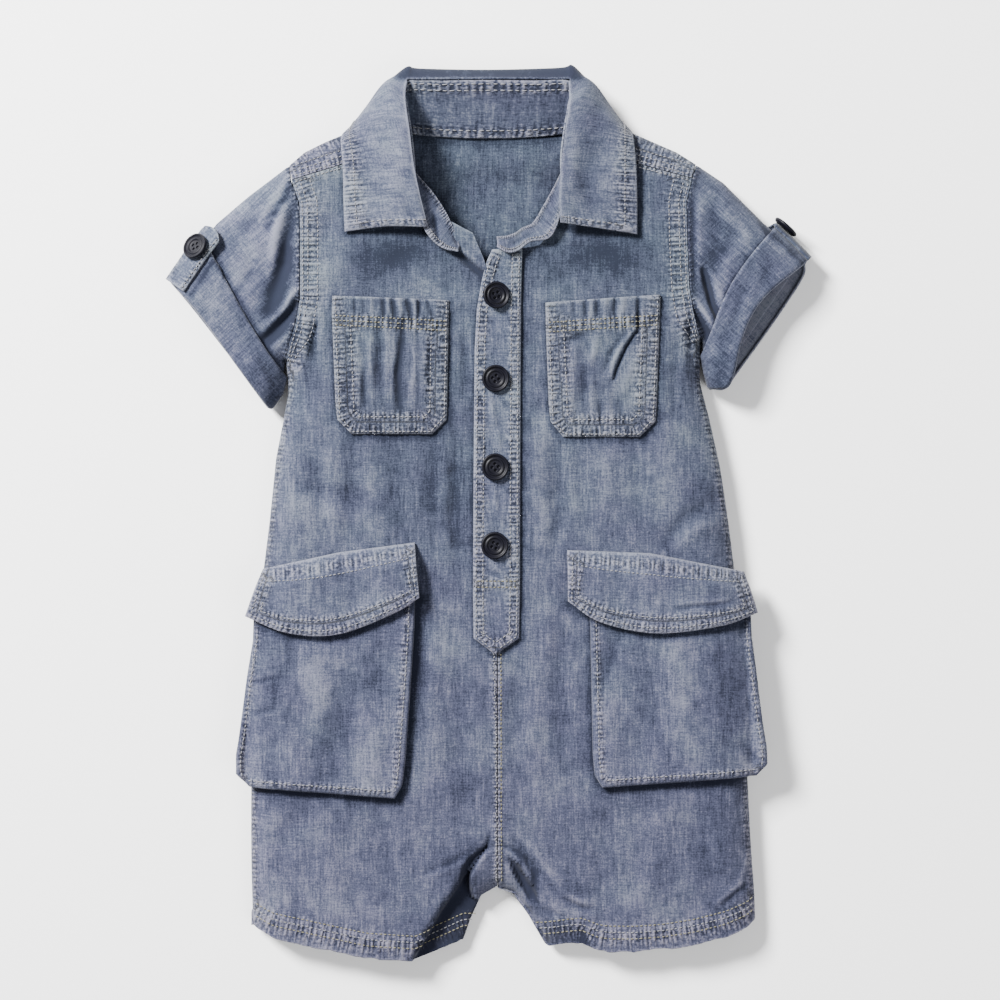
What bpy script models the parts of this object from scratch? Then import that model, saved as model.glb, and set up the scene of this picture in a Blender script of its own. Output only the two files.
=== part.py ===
"""A baby romper in chambray, laid flat on its back and softly lofted.

Sizes are millimetres until a mesh is made, which is in metres.
+X is the viewer's right, +Y runs to the collar, +Z is up, and the back rests on Z = 0.
Cloth is a thin wall. Its outer face is a height over the plan: it turns round every folded
edge (side, inseam, shoulder, sleeve) and is level inside, high on the front and flat below.
"""
import math

import bpy
import numpy as np
from mathutils import Matrix, Vector

MM = 0.001

# ---- driving sizes -------------------------------------------------------------------
WALL = 1.2            # cloth, hems and seams taken together
SEAM = 0.3            # gap where two pieces are sewn edge to edge
LAY = 0.6             # gap under a piece that lies on another
TURN = 21.0           # width over which the cloth turns round a folded edge
CROWN = 19.0          # height of the front over the floor
EDGE = 8.0            # height of a folded edge over the floor
YOKE_SEAM = 128.0     # Y of the hidden back yoke seam
ROW = 14.0            # longest step between rows of a panel

BUTTON = 15.0         # button diameter
CARGO_LIFT = 5.0      # a cargo pocket's face over the panel below it

DENIM = (0.155, 0.195, 0.285)
DENIM_DARK = (0.125, 0.160, 0.240)
DENIM_LIGHT = (0.190, 0.235, 0.330)
HORN = (0.022, 0.021, 0.032)


def table(names, rows):
    """A short table as named columns."""
    return {name: np.array(col, float) for name, col in zip(names.split(), zip(*rows))}


# ---- outlines in plan ------------------------------------------------------------------
# The upper edge of each front, from the neck over the shoulder ridge and down the sleeve.
RIDGE_LEFT = [(-54, 218.5), (-80.5, 209.3), (-91, 204.9), (-102, 199.4), (-110.3, 192.2)]
RIDGE_RIGHT = [(54, 219.5), (79, 210.4), (91.6, 204.9), (104.2, 199.4), (114.7, 192.8)]
SLEEVE_TOP_LEFT = [(-110.6, 192), (-133, 175), (-150.5, 160), (-161, 147), (-175.2, 126.2)]
SLEEVE_TOP_RIGHT = [(115, 192.6), (130, 182.5), (152, 160.5), (164, 150), (175.7, 138)]
SLEEVE_UNDER_LEFT = [(-112.6, 82.5), (-114, 75), (-116.4, 66.6), (-122.6, 58)]
SLEEVE_UNDER_RIGHT = [(117.7, 93.8), (120.2, 87), (124, 77), (129.6, 68)]

# Armhole seams, from the shoulder ridge down to the armpit.
ARMHOLE_LEFT = [(-110.3, 192.2), (-108.5, 183), (-103.9, 170), (-103.5, 152), (-103.5, 118),
                (-106, 104), (-109.3, 94), (-112.3, 82.5)]
ARMHOLE_RIGHT = [(114.7, 192.8), (112, 184), (108.8, 171), (109.2, 150), (110.3, 124),
                 (112.4, 111), (115, 101), (117.4, 93.8)]
BACK_ARMHOLE_LEFT = [(-110.3, 192.2), (-107.2, 160), (-104.2, 128), (-106, 104),
                     (-109.3, 94), (-112.3, 82.5)]
BACK_ARMHOLE_RIGHT = [(114.7, 192.8), (112.4, 160), (110.2, 128), (112.4, 111),
                      (115, 101), (117.4, 93.8)]

# One row per station down a front: its inner end (neck, centre seam, inseam), its outer end
# (armhole, side seam), and the share of the row where the leg's fold lies.
FRONT_LEFT = table("inner_x inner_y outer_x outer_y fold", [
    (-49.8, 200.5, -108.5, 183, .04),
    (-44.3, 180, -103.9, 170, .04),
    (-27.5, 163.5, -103.5, 152, .04),
    (-8.5, 153.5, -103.5, 136, .04),
    (-2.6, 139.5, -103.5, 118, .04),
    (4.85, 116, -106, 104, .04),
    (4.85, 98, -109.3, 94, .04),
    (4.85, 82.5, -112.3, 82.5, .04),
    (4.85, 66, -110.8, 66, .04),
    (4.85, 30, -117.8, 30, .04),
    (4.85, -5, -121.4, -5, .04),
    (4.85, -50, -127, -50, .04),
    (4.85, -100, -130.4, -100, .04),
    (4.85, -150, -131.7, -150, .04),
    (4.85, -176, -131.8, -176, .04),
    (4.85, -191, -131.7, -189, .11),
    (4.85, -206, -131.5, -200, .19),
    (-4.5, -213.5, -131.2, -210, .17),
    (-10, -225, -131, -218.5, .18),
    (-14, -236, -130.6, -227, .227),
])
FRONT_RIGHT = table("inner_x inner_y outer_x outer_y fold", [
    (49.2, 200.5, 112, 184, .04),
    (44.8, 180, 108.8, 171, .04),
    (38.2, 161, 109.2, 150, .04),
    (28.3, 147, 109.7, 137, .04),
    (5.15, 143, 110.3, 124, .04),
    (5.15, 122, 112.4, 111, .04),
    (5.15, 108, 115, 101, .04),
    (5.15, 93.8, 117.4, 93.8, .04),
    (5.15, 72, 117, 72, .04),
    (5.15, 52, 122.3, 52, .04),
    (5.15, 25, 128.3, 25, .04),
    (5.15, -5, 132.8, -5, .04),
    (5.15, -50, 138.4, -50, .04),
    (5.15, -100, 141, -100, .04),
    (5.15, -150, 143.7, -150, .04),
    (5.15, -176, 145, -176, .04),
    (5.15, -191, 145.9, -188, .11),
    (5.15, -206, 146.8, -198, .2),
    (14.6, -208.5, 147.3, -204, .18),
    (23, -222, 147.6, -210, .2),
    (32.7, -239, 147.7, -216, .26),
])
# How far a leg's hem hangs below the straight line between its ends, along its width.
HEM_LEFT = table("share drop", [
    (0, 0), (.1, 6), (.227, 12.5), (.45, 14), (.7, 12.5), (.9, 6), (1, 0)])
HEM_RIGHT = table("share drop", [
    (0, 0), (.1, -2), (.24, -1), (.3, 8), (.5, 13), (.8, 13.5), (1, 0)])
HEM_FROM = -150.0     # the rows start to bend towards the hem here
LEG_FOLD = table("y depth", [(-250, 8), (-206, 7.5), (-191, 4), (-176, 0)])

# Heights along the body.
CROWN_ALONG = table("y height", [
    (-250, -2.5), (-205, -2), (-120, 0), (60, .5), (150, 0), (215, -2)])
EDGE_ALONG = table("y height", [(-250, -2.5), (-180, -1.5), (-60, 0), (220, .5)])

# The largest creases: both ends, half width, height (a trough is below zero).
CREASES = table("x0 y0 x1 y1 wide high", [
    (-108, 178, -119, 100, 6, -3),
    (-119, 160, -137, 112, 8, 1.6),
    (-106, 117, -113, 96, 4, -2),
    (120, 148, 125, 108, 5.5, -3),
    (133, 160, 146, 122, 8, 1.6),
    (-96, 116, -92, 70, 5, -1.6),
    (101, 106, 99, 62, 5, -1.6),
    (-118, 20, -66, 8, 8, -1.4),
    (128, 18, 72, 4, 8, -1.4),
    (-92, -172, -70, -232, 8, 1.2),
    (98, -170, 84, -226, 8, 1.2),
])

# Distances from a folded edge at which the columns of a panel lie.
CROWD = [0, .8, 3, 7.5, 13.5, 21]


# ---- the height of the cloth -------------------------------------------------------------
def outer_line(panel, first):
    """The outer ends of a panel's stations, from the first one that is a folded edge."""
    return list(zip(panel["outer_x"][first:], panel["outer_y"][first:]))


def inner_line(panel, first):
    return list(zip(panel["inner_x"][first:], panel["inner_y"][first:]))


def folded_edges():
    """Every line where the cloth turns from the front to the back, as plan segments."""
    lines = [RIDGE_LEFT + SLEEVE_TOP_LEFT, RIDGE_RIGHT + SLEEVE_TOP_RIGHT,
             SLEEVE_UNDER_LEFT, SLEEVE_UNDER_RIGHT,
             outer_line(FRONT_LEFT, 7), outer_line(FRONT_RIGHT, 7),
             inner_line(FRONT_LEFT, 16), inner_line(FRONT_RIGHT, 17)]
    return np.array([(a, b) for line in lines for a, b in zip(line, line[1:])], float)


FOLDED = folded_edges()


def from_edge(x, y):
    """Distance from the nearest folded edge, and the plan direction away from it."""
    point = np.stack([x, y], -1)[..., None, :]
    start, end = FOLDED[:, 0], FOLDED[:, 1]
    share = ((point - start) * (end - start)).sum(-1) / ((end - start) ** 2).sum(-1)
    away = point - (start + np.clip(share, 0, 1)[..., None] * (end - start))
    distance = np.linalg.norm(away, axis=-1)
    nearest = distance.argmin(-1)[..., None]
    d = np.take_along_axis(distance, nearest, -1)[..., 0]
    way = np.take_along_axis(away, nearest[..., None], -2)[..., 0, :]
    return d, way / np.maximum(d, 1e-6)[..., None]


def creases(x, y):
    """Soft ridges and troughs: a bell across each line, fading at both its ends."""
    total = np.zeros(np.shape(x))
    for x0, y0, x1, y1, wide, high in zip(*CREASES.values()):
        run = np.array([x1 - x0, y1 - y0])
        length = np.hypot(*run)
        along = ((x - x0) * run[0] + (y - y0) * run[1]) / length
        off = ((x - x0) * run[1] - (y - y0) * run[0]) / length
        past = np.maximum(np.maximum(-along, along - length), 0)
        total = total + high * np.exp(-(off / wide) ** 2 - (past / (1.5 * wide)) ** 2)
    return total


def edge_height(y):
    return EDGE + np.interp(y, EDGE_ALONG["y"], EDGE_ALONG["height"])


def crown_height(x, y):
    return CROWN + np.interp(y, CROWN_ALONG["y"], CROWN_ALONG["height"]) + creases(x, y)


def ease(t):
    t = np.clip(t, 0, 1)
    return t * t * (3 - 2 * t)


def back_lift(x, y):
    """The back stands off the floor over the collar's fall, and inside the cuffs."""
    collar = 4 * ease((y - 180) / 18) * ease((84 - np.abs(x)) / 18)
    cuffs = 2.4 * ease((np.abs(x - 2) - 112) / 22)
    return collar + cuffs


def unit(v):
    return v / np.maximum(np.linalg.norm(v, axis=-1, keepdims=True), 1e-9)


def slopes(height, x, y, step=1.5):
    return ((height(x + step, y) - height(x - step, y)) / (2 * step),
            (height(x, y + step) - height(x, y - step)) / (2 * step))


def front(x, y, sink=0.0):
    """Outer face of the front layer and its outward normals."""
    d, away = from_edge(x, y)
    t = np.clip(d / TURN, 0, 1)
    turn = np.sqrt(np.maximum(1 - (1 - t) ** 2, 0))
    rise = crown_height(x, y) - sink - edge_height(y)
    z = edge_height(y) + rise * turn
    steep = rise * (1 - t) / (TURN * np.maximum(turn, .02))
    dx, dy = slopes(crown_height, x, y)
    normal = np.stack([-steep * away[..., 0] - dx * turn, -steep * away[..., 1] - dy * turn,
                       np.ones(np.shape(x))], -1)
    return np.stack([x, y, z], -1), unit(normal)


def back(x, y):
    """Outer face of the back layer, which faces the floor, and its outward normals."""
    d, away = from_edge(x, y)
    t = np.clip(d / TURN, 0, 1)
    turn = np.sqrt(np.maximum(1 - (1 - t) ** 2, 0))
    base = np.minimum(back_lift(x, y), edge_height(y) - 3)
    drop = edge_height(y) - base
    z = base + drop * (1 - turn)
    steep = drop * (1 - t) / (TURN * np.maximum(turn, .02))
    dx, dy = slopes(back_lift, x, y)
    normal = np.stack([-steep * away[..., 0] + dx, -steep * away[..., 1] + dy,
                       -np.ones(np.shape(x))], -1)
    return np.stack([x, y, z], -1), unit(normal)


def level_edge(points, normals, column, beside):
    """On a folded edge the wall is upright, so its normal is level and points outwards."""
    out = points[..., column, :] - points[..., beside, :]
    out[..., 2] = 0
    normals[..., column, :] = unit(out)


# ---- curves in plan -----------------------------------------------------------------------
def at(line, share):
    """Points at shares of a plan line's length."""
    line = np.array(line, float)
    run = np.concatenate([[0], np.cumsum(np.linalg.norm(np.diff(line, axis=0), axis=1))])
    share = np.asarray(share) * run[-1]
    return np.stack([np.interp(share, run, line[:, k]) for k in range(line.shape[1])], -1)


def smooth_through(rows, share):
    """Catmull-Rom curve through rows of numbers, read at shares of the row count."""
    rows = np.array(rows, float)
    padded = np.vstack([2 * rows[0] - rows[1], rows, 2 * rows[-1] - rows[-2]])
    t = np.clip(np.asarray(share, float), 0, 1) * (len(rows) - 1)
    k = np.minimum(t.astype(int), len(rows) - 2)
    t = (t - k)[:, None]
    a, b, c, d = (padded[k + n] for n in range(4))
    return b + .5 * t * (c - a + t * (2 * a - 5 * b + 4 * c - d + t * (3 * (b - c) + d - a)))


def ruled(start, end, first, last, rows, columns):
    """Plan points of a four-sided patch: start to end by rows, first to last by columns."""
    a, b = np.array(rows)[:, None, None], np.array(columns)[None, :, None]
    plan = (1 - a) * at(start, columns)[None] + a * at(end, columns)[None]
    low = (1 - a) * np.array(start[0]) + a * np.array(end[0])
    high = (1 - a) * np.array(start[-1]) + a * np.array(end[-1])
    return (plan + (1 - b) * (at(first, rows)[:, None] - low)
            + b * (at(last, rows)[:, None] - high))


def crowded(length, middle, both=True):
    """Shares of a width, with columns crowded at its folded edges."""
    near = np.array(CROWD) / length
    if both:
        return np.concatenate([near, np.linspace(near[-1], 1 - near[-1], middle + 2)[1:-1],
                               1 - near[::-1]])
    return np.concatenate([np.linspace(0, 1 - near[-1], middle + 2)[:-1], 1 - near[::-1]])


# ---- meshes ---------------------------------------------------------------------------------
class Sheet:
    """Quads of a sheet with a normal at each point; patches that meet share their points."""

    def __init__(self):
        self.points, self.normals, self.faces, self.seen = [], [], [], {}

    def point(self, p, n):
        key = tuple(np.round(p, 3))
        if key not in self.seen:
            self.seen[key] = len(self.points)
            self.points.append(p)
            self.normals.append(n)
        return self.seen[key]

    def patch(self, points, normals):
        index = [[self.point(p, n) for p, n in zip(*row)] for row in zip(points, normals)]
        for r0, r1 in zip(index, index[1:]):
            for a, b, c, d in zip(r0, r0[1:], r1[1:], r1):
                corners = list(dict.fromkeys((a, b, c, d)))
                if len(corners) > 2:
                    self.faces.append(corners)
        return self

    def build(self, name, colour, wall=WALL):
        """The sheet as a closed wall, its inner face one wall thickness behind the outer."""
        outer = np.array(self.points)
        normals = np.array(self.normals)
        count = len(outer)
        used = {}
        for face in self.faces:
            for a, b in zip(face, face[1:] + face[:1]):
                used[(a, b)] = face
        faces = [list(f) for f in self.faces] + [[i + count for i in f[::-1]] for f in self.faces]
        for a, b in used:
            if (b, a) not in used:
                faces.append([b, a, a + count, b + count])
        vertices = np.vstack([outer, outer - wall * normals])
        return add_solid(name, vertices, faces, colour)


def add_solid(name, vertices, faces, colour, roughness=.85):
    """A closed mesh in metres, turned so that its faces point outwards."""
    corners = [(f[0], f[k], f[k + 1]) for f in faces for k in range(1, len(f) - 1)]
    a, b, c = (np.asarray(vertices)[[t[k] for t in corners]] for k in range(3))
    if np.einsum("ij,ij->i", a, np.cross(b, c)).sum() < 0:
        faces = [f[::-1] for f in faces]
    mesh = bpy.data.meshes.new(name)
    mesh.from_pydata((np.asarray(vertices) * MM).tolist(), [], faces)
    mesh.materials.append(material(name, colour, roughness))
    body = bpy.data.objects.new(name, mesh)
    bpy.context.scene.collection.objects.link(body)
    mesh.shade_smooth()
    mesh.set_sharp_from_angle(angle=math.radians(50))
    return body


def material(name, colour, roughness):
    finish = bpy.data.materials.new(name)
    finish.use_nodes = True
    shader = finish.node_tree.nodes["Principled BSDF"]
    shader.inputs["Base Color"].default_value = (*colour, 1)
    shader.inputs["Roughness"].default_value = roughness
    shader.inputs["Metallic"].default_value = 0
    return finish


def grid_normals(points, up=True):
    """Normals of a grid of points from its own rows and columns."""
    across = np.gradient(points, axis=1)
    down = np.gradient(points, axis=0)
    normal = unit(np.cross(across, down))
    facing = normal[..., 2].mean() > 0
    return normal if facing == up else -normal


# ---- body panels -------------------------------------------------------------------------------
def more_rows(panel, first=0, step=ROW):
    """A panel's stations with straight steps between them, none longer than one row."""
    names = list(panel)
    stations = np.stack([panel[n][first:] for n in names], -1)
    rows = [stations[0]]
    for a, b in zip(stations, stations[1:]):
        long = max(np.hypot(*(b - a)[:2]), np.hypot(*(b - a)[2:4]))
        count = max(1, math.ceil(long / step))
        rows += [a + (b - a) * k / count for k in range(1, count + 1)]
    return dict(zip(names, np.array(rows).T))


def panel_plan(rows, hem, fold=True, middle=4):
    """Plan points of a body panel, the share of each along its row, and the hem's bend."""
    inner = np.stack([rows["inner_x"], rows["inner_y"]], -1)
    outer = np.stack([rows["outer_x"], rows["outer_y"]], -1)
    length = np.linalg.norm(outer - inner, axis=1)
    near = np.array(CROWD[::-1])
    shares = []
    for f, long in zip(rows["fold"], length):
        lip = .9 / long
        head = [0, .5 * f, f - lip, f + lip] if fold else [0, 3 / long, 10 / long]
        body = np.linspace(head[-1], 1 - near[0] / long, middle + 2)[1:-1]
        shares.append(np.concatenate([head, body, 1 - near / long]))
    share = np.array(shares)
    plan = inner[:, None] + share[..., None] * (outer - inner)[:, None]
    bend = ease((HEM_FROM - rows["outer_y"]) / (HEM_FROM - rows["outer_y"][-1]))[:, None]
    plan[..., 1] -= bend * np.interp(share, hem["share"], hem["drop"])
    return plan, share


def front_panel(name, panel, hem, armpit, crotch):
    rows = more_rows(panel)
    plan, share = panel_plan(rows, hem)
    depth = np.interp(plan[..., 1], LEG_FOLD["y"], LEG_FOLD["depth"])
    behind = np.arange(share.shape[1]) < 3
    points, normals = front(plan[..., 0], plan[..., 1], np.where(behind, depth, 0))
    inwards = points[:, 2] - points[:, 3]
    inwards[:, 2] = 0
    corner = unit(inwards) + np.array([0, 0, 1.0])
    sharp = ease(depth[:, 2] / 5)[:, None]
    for column in (2, 3):
        normals[:, column] = (1 - sharp) * normals[:, column] + sharp * corner
    side = np.searchsorted(-rows["outer_y"], -panel["outer_y"][armpit] - .01)
    crotch_row = np.searchsorted(-rows["inner_y"], -panel["inner_y"][crotch] - .01)
    level_edge(points[side:], normals[side:], -1, -2)
    level_edge(points[crotch_row:], normals[crotch_row:], 0, 1)
    points[side:, -1, 2] += SEAM / 2
    points[crotch_row:, 0, 2] += SEAM / 2
    Sheet().patch(points, normals).build(name, DENIM)


def back_panel(name, panel, armhole, hem, armpit, crotch):
    """The lower back: the front's side and inseam, closed up to the yoke seam."""
    stations = {k: v[armpit:] for k, v in panel.items()}
    centre = panel["inner_x"][armpit]
    above = [p for p in armhole if panel["outer_y"][armpit] + 1 < p[1] < YOKE_SEAM + 1]
    for x, y in above[::-1]:
        y_here = min(y, YOKE_SEAM - SEAM / 2)
        for k, v in zip(("inner_x", "inner_y", "outer_x", "outer_y", "fold"),
                        (centre, y_here, x, y_here, .04)):
            stations[k] = np.concatenate([[v], stations[k]])
    rows = more_rows(stations, step=2 * ROW)
    plan, share = panel_plan(rows, hem, fold=False, middle=2)
    points, normals = back(plan[..., 0], plan[..., 1])
    side = np.searchsorted(-rows["outer_y"], -panel["outer_y"][armpit] - .01)
    crotch_row = np.searchsorted(-rows["inner_y"], -panel["inner_y"][crotch] - .01)
    level_edge(points[side:], normals[side:], -1, -2)
    level_edge(points[crotch_row:], normals[crotch_row:], 0, 1)
    points[side:, -1, 2] -= SEAM / 2
    points[crotch_row:, 0, 2] -= SEAM / 2
    Sheet().patch(points, normals).build(name, DENIM_DARK)


# ---- yoke ---------------------------------------------------------------------------------------
NECK_BACK = [(-54, 218.5), (-51, 214.5), (-43, 212), (-22, 210), (0, 209.5), (22, 210),
             (43, 212), (51, 215), (54, 219.5)]


def yoke():
    """Over both shoulders: a strip on each front, round the ridge, and down the back."""
    sheet = Sheet()
    gap = SEAM / 2
    for ridge, armhole, neck, side in (
            (RIDGE_LEFT[::-1], ARMHOLE_LEFT, (-49.8, 200.5 + SEAM), -1),
            (RIDGE_RIGHT[::-1], ARMHOLE_RIGHT, (49.2, 200.5 + SEAM), 1)):
        seam = [(armhole[1][0], armhole[1][1] + SEAM), neck]
        columns = np.linspace(0, 1, 6)
        plan = ruled(ridge, seam, [ridge[0], seam[0]], [ridge[-1], seam[-1]],
                     [0, .05, .18, .42, .7, 1], columns)
        points, normals = front(plan[..., 0], plan[..., 1])
        level_edge(np.swapaxes(points, 0, 1), np.swapaxes(normals, 0, 1), 0, 1)
        sheet.patch(points[::side], normals[::side])
    shares = np.linspace(0, 1, 6)
    top = np.vstack([at(RIDGE_LEFT[::-1], shares), at(NECK_BACK, np.linspace(0, 1, 9))[1:-1],
                     at(RIDGE_RIGHT, shares)])
    bottom = np.stack([np.linspace(BACK_ARMHOLE_LEFT[2][0], BACK_ARMHOLE_RIGHT[2][0], len(top)),
                       np.full(len(top), YOKE_SEAM + gap)], -1)
    down = np.array([0, .01, .035, .09, .165, .26, .6, 1])[:, None, None]
    plan = (1 - down) * top + down * bottom
    points, normals = back(plan[..., 0], plan[..., 1])
    ridge_top = np.r_[0:6, len(top) - 6:len(top)]
    edge = points[:1, ridge_top] - points[1:2, ridge_top]
    edge[..., 2] = 0
    normals[:1, ridge_top] = unit(edge)
    sheet.patch(points, normals)
    sheet.build("yoke", DENIM_LIGHT)


# ---- sleeves, cuffs and tabs ------------------------------------------------------------------------
SLEEVES = {
    "left": dict(side=-1, top=SLEEVE_TOP_LEFT, under=SLEEVE_UNDER_LEFT,
                 front_hole=ARMHOLE_LEFT, back_hole=BACK_ARMHOLE_LEFT, gape=4,
                 cuff_top=.66, cuff_under=.24, hem_bow=1, tab=(-1.5, 9.5),
                 tab_from=.59, button_at=.735, button_across=4.0, button_off=.15),
    "right": dict(side=1, top=SLEEVE_TOP_RIGHT, under=SLEEVE_UNDER_RIGHT,
                  front_hole=ARMHOLE_RIGHT, back_hole=BACK_ARMHOLE_RIGHT, gape=11,
                  cuff_top=.68, cuff_under=.24, hem_bow=-6, tab=(-6, 4.5),
                  tab_from=.64, button_at=.735, button_across=0.0, button_off=0.0),
}
SLEEVE_SHORT = 1.2    # the sleeve ends this far inside the cuff's fold
CUFF_PUFF = 1.2       # the turned-up cloth stands this much more off the sleeve


def bowed(start, end, depth, count=9):
    """A line from start to end whose middle is drawn back to the left of its direction."""
    start, end = np.array(start, float), np.array(end, float)
    share = np.linspace(0, 1, count)[:, None]
    run = unit(end - start)
    side = np.array([-run[1], run[0]])
    return (start + share * (end - start) + depth * np.sin(math.pi * share) * side).tolist()


def part_of(line, start, end, count=6):
    return at(line, np.linspace(start, end, count)).tolist()


def tube(sheet, start_front, start_back, end_front, end_back, top, under, rows, out=0.0,
         puff=0.0):
    """Front and back layer of a flattened tube, which share both folded edges."""
    layers = []
    for layer, start, end in ((front, start_front, end_front), (back, start_back, end_back)):
        columns = crowded(100, 3)
        plan = ruled(start, end, top, under, rows, columns)
        points, normals = layer(plan[..., 0], plan[..., 1])
        level_edge(points, normals, 0, 1)
        level_edge(points, normals, -1, -2)
        swell = out + puff * np.sin(math.pi * columns)[:, None]
        points = points + swell * normals
        points[..., 2] = np.maximum(points[..., 2], 0)
        layers.append((points, normals))
    (front_points, front_normals), (back_points, back_normals) = layers
    for column in (0, -1):
        back_points[:, column], back_normals[:, column] = (
            front_points[:, column], front_normals[:, column])
    sheet.patch(front_points, front_normals)
    sheet.patch(back_points[:, ::-1], back_normals[:, ::-1])


def beyond(line, side):
    """A line moved one seam gap towards the sleeve."""
    return [(x + side * SEAM, y) for x, y in line]


def sleeve(name, spec):
    side = spec["side"]
    top, under = spec["top"], spec["under"]
    hole_front = [top[0]] + beyond(spec["front_hole"][1:-1], side) + [under[0]]
    hole_back = [top[0]] + beyond(spec["back_hole"][1:-1], side) + [under[0]]
    top = part_of(top, 0, 1 - SLEEVE_SHORT / 40)
    under = part_of(under, 0, 1 - SLEEVE_SHORT / 40)
    end_front = bowed(top[-1], under[-1], -side * spec["gape"])
    end_back = bowed(top[-1], under[-1], 0)
    sheet = Sheet()
    tube(sheet, hole_front, hole_back, end_front, end_back, top, under,
         [0, .2, .4, .6, .8, 1])
    sheet.build("sleeve_" + name, DENIM)


def cuff(name, spec):
    side = spec["side"]
    top = part_of(spec["top"], spec["cuff_top"], 1, 9)
    under = part_of(spec["under"], spec["cuff_under"], 1, 9)
    hem = bowed(top[0], under[0], side * spec["hem_bow"])
    end_front = bowed(top[-1], under[-1], -side * spec["gape"])
    end_back = bowed(top[-1], under[-1], 0)
    sheet = Sheet()
    tube(sheet, hem, hem, end_front, end_back, top, under, [0, .22, .44, .72, 1],
         out=WALL + .5, puff=CUFF_PUFF)
    sheet.build("cuff_" + name, DENIM_LIGHT)


def tab_surface(spec, share, across):
    """A point and normal over the cuff, by share of its top edge and distance round the fold."""
    line = spec["top"]
    here, beside = at(line, [share])[0], at(line, [min(share + .02, 1.0), share - .02])
    along = unit(beside[0] - beside[1])
    inwards = np.array([along[1], -along[0]])
    inwards = inwards if inwards[1] < 0 else -inwards
    d = abs(across)
    plan = here + inwards * d
    layer = front if across > 0 else back
    p, n = layer(np.array([plan[0]]), np.array([plan[1]]))
    p, n = p[0], n[0]
    if d < .05:
        n = np.append(-inwards, 0)
    rest = WALL + .5 + CUFF_PUFF * math.sin(math.pi * d / 100)
    return p + n * rest, n


TAB_WALL = 1.2
TAB_REST = .95        # clearance under a tab, which bends round the cuff's tight fold


def tab(name, spec):
    low, high = spec["tab"]
    across = [low, low / 3, 0, high / 8, high / 3, high * .62, high]
    start = spec["tab_from"]
    rows = [start, start + .035, *np.linspace(start + .1, .995, 5)]
    narrow = [.45, 1, 1, 1, 1, 1, 1]
    middle = (low + high) / 2
    points, normals = [], []
    for share, width in zip(rows, narrow):
        line = [tab_surface(spec, share, middle + (a - middle) * width) for a in across]
        points.append([p + n * (TAB_WALL + TAB_REST) for p, n in line])
        normals.append([n for p, n in line])
    Sheet().patch(np.array(points), np.array(normals)).build("tab_" + name, DENIM_LIGHT, TAB_WALL)


# ---- collar ---------------------------------------------------------------------------------------------
# Stand, from the left front end round the back: its neck seam and its upper edge. Both front
# ends lie turned out over the fronts, so there the upper edge is the outer one.
STAND = [
    # low x, y, z,      high x, y, z
    (-15.9, 147.0, 20.8, -16.4, 143.9, 22.0),
    (-18.4, 153.5, 20.8, -24.5, 145.0, 22.8),
    (-21.0, 160.5, 20.8, -32.0, 150.5, 23.4),
    (-24.5, 167.0, 20.8, -36.2, 158.0, 23.8),
    (-31.0, 176.5, 20.8, -38.5, 169.0, 24.9),
    (-40.0, 187.0, 20.4, -39.5, 181.0, 26.0),
    (-46.5, 197.0, 19.8, -40.3, 195.0, 26.2),
    (-49.0, 207.0, 17.5, -42.0, 210.0, 25.4),
    (-49.5, 213.5, 12.0, -43.8, 223.0, 22.8),
    (-43.0, 210.0, 7.0, -44.2, 232.0, 18.4),
    (-22.0, 208.0, 6.6, -24.0, 237.6, 17.5),
    (0.0, 207.5, 6.6, 0.0, 238.0, 17.5),
    (22.0, 208.0, 6.6, 24.0, 237.6, 17.5),
    (43.0, 210.0, 7.0, 43.2, 232.0, 18.4),
    (49.5, 213.5, 12.0, 42.8, 223.0, 22.8),
    (48.6, 207.0, 17.5, 41.0, 210.0, 25.4),
    (45.0, 197.0, 19.9, 39.2, 195.0, 26.0),
    (39.5, 186.5, 20.4, 39.4, 181.0, 26.0),
    (35.0, 177.5, 20.8, 40.0, 168.5, 25.2),
    (30.0, 168.5, 20.8, 38.2, 159.5, 24.4),
    (24.4, 159.4, 20.8, 33.2, 150.6, 23.6),
    (18.0, 154.4, 21.2, 26.0, 145.6, 23.4),
    (11.7, 151.2, 21.8, 15.0, 143.9, 23.2),
    (4.6, 149.6, 22.4, 4.2, 147.0, 23.2),
]
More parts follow.
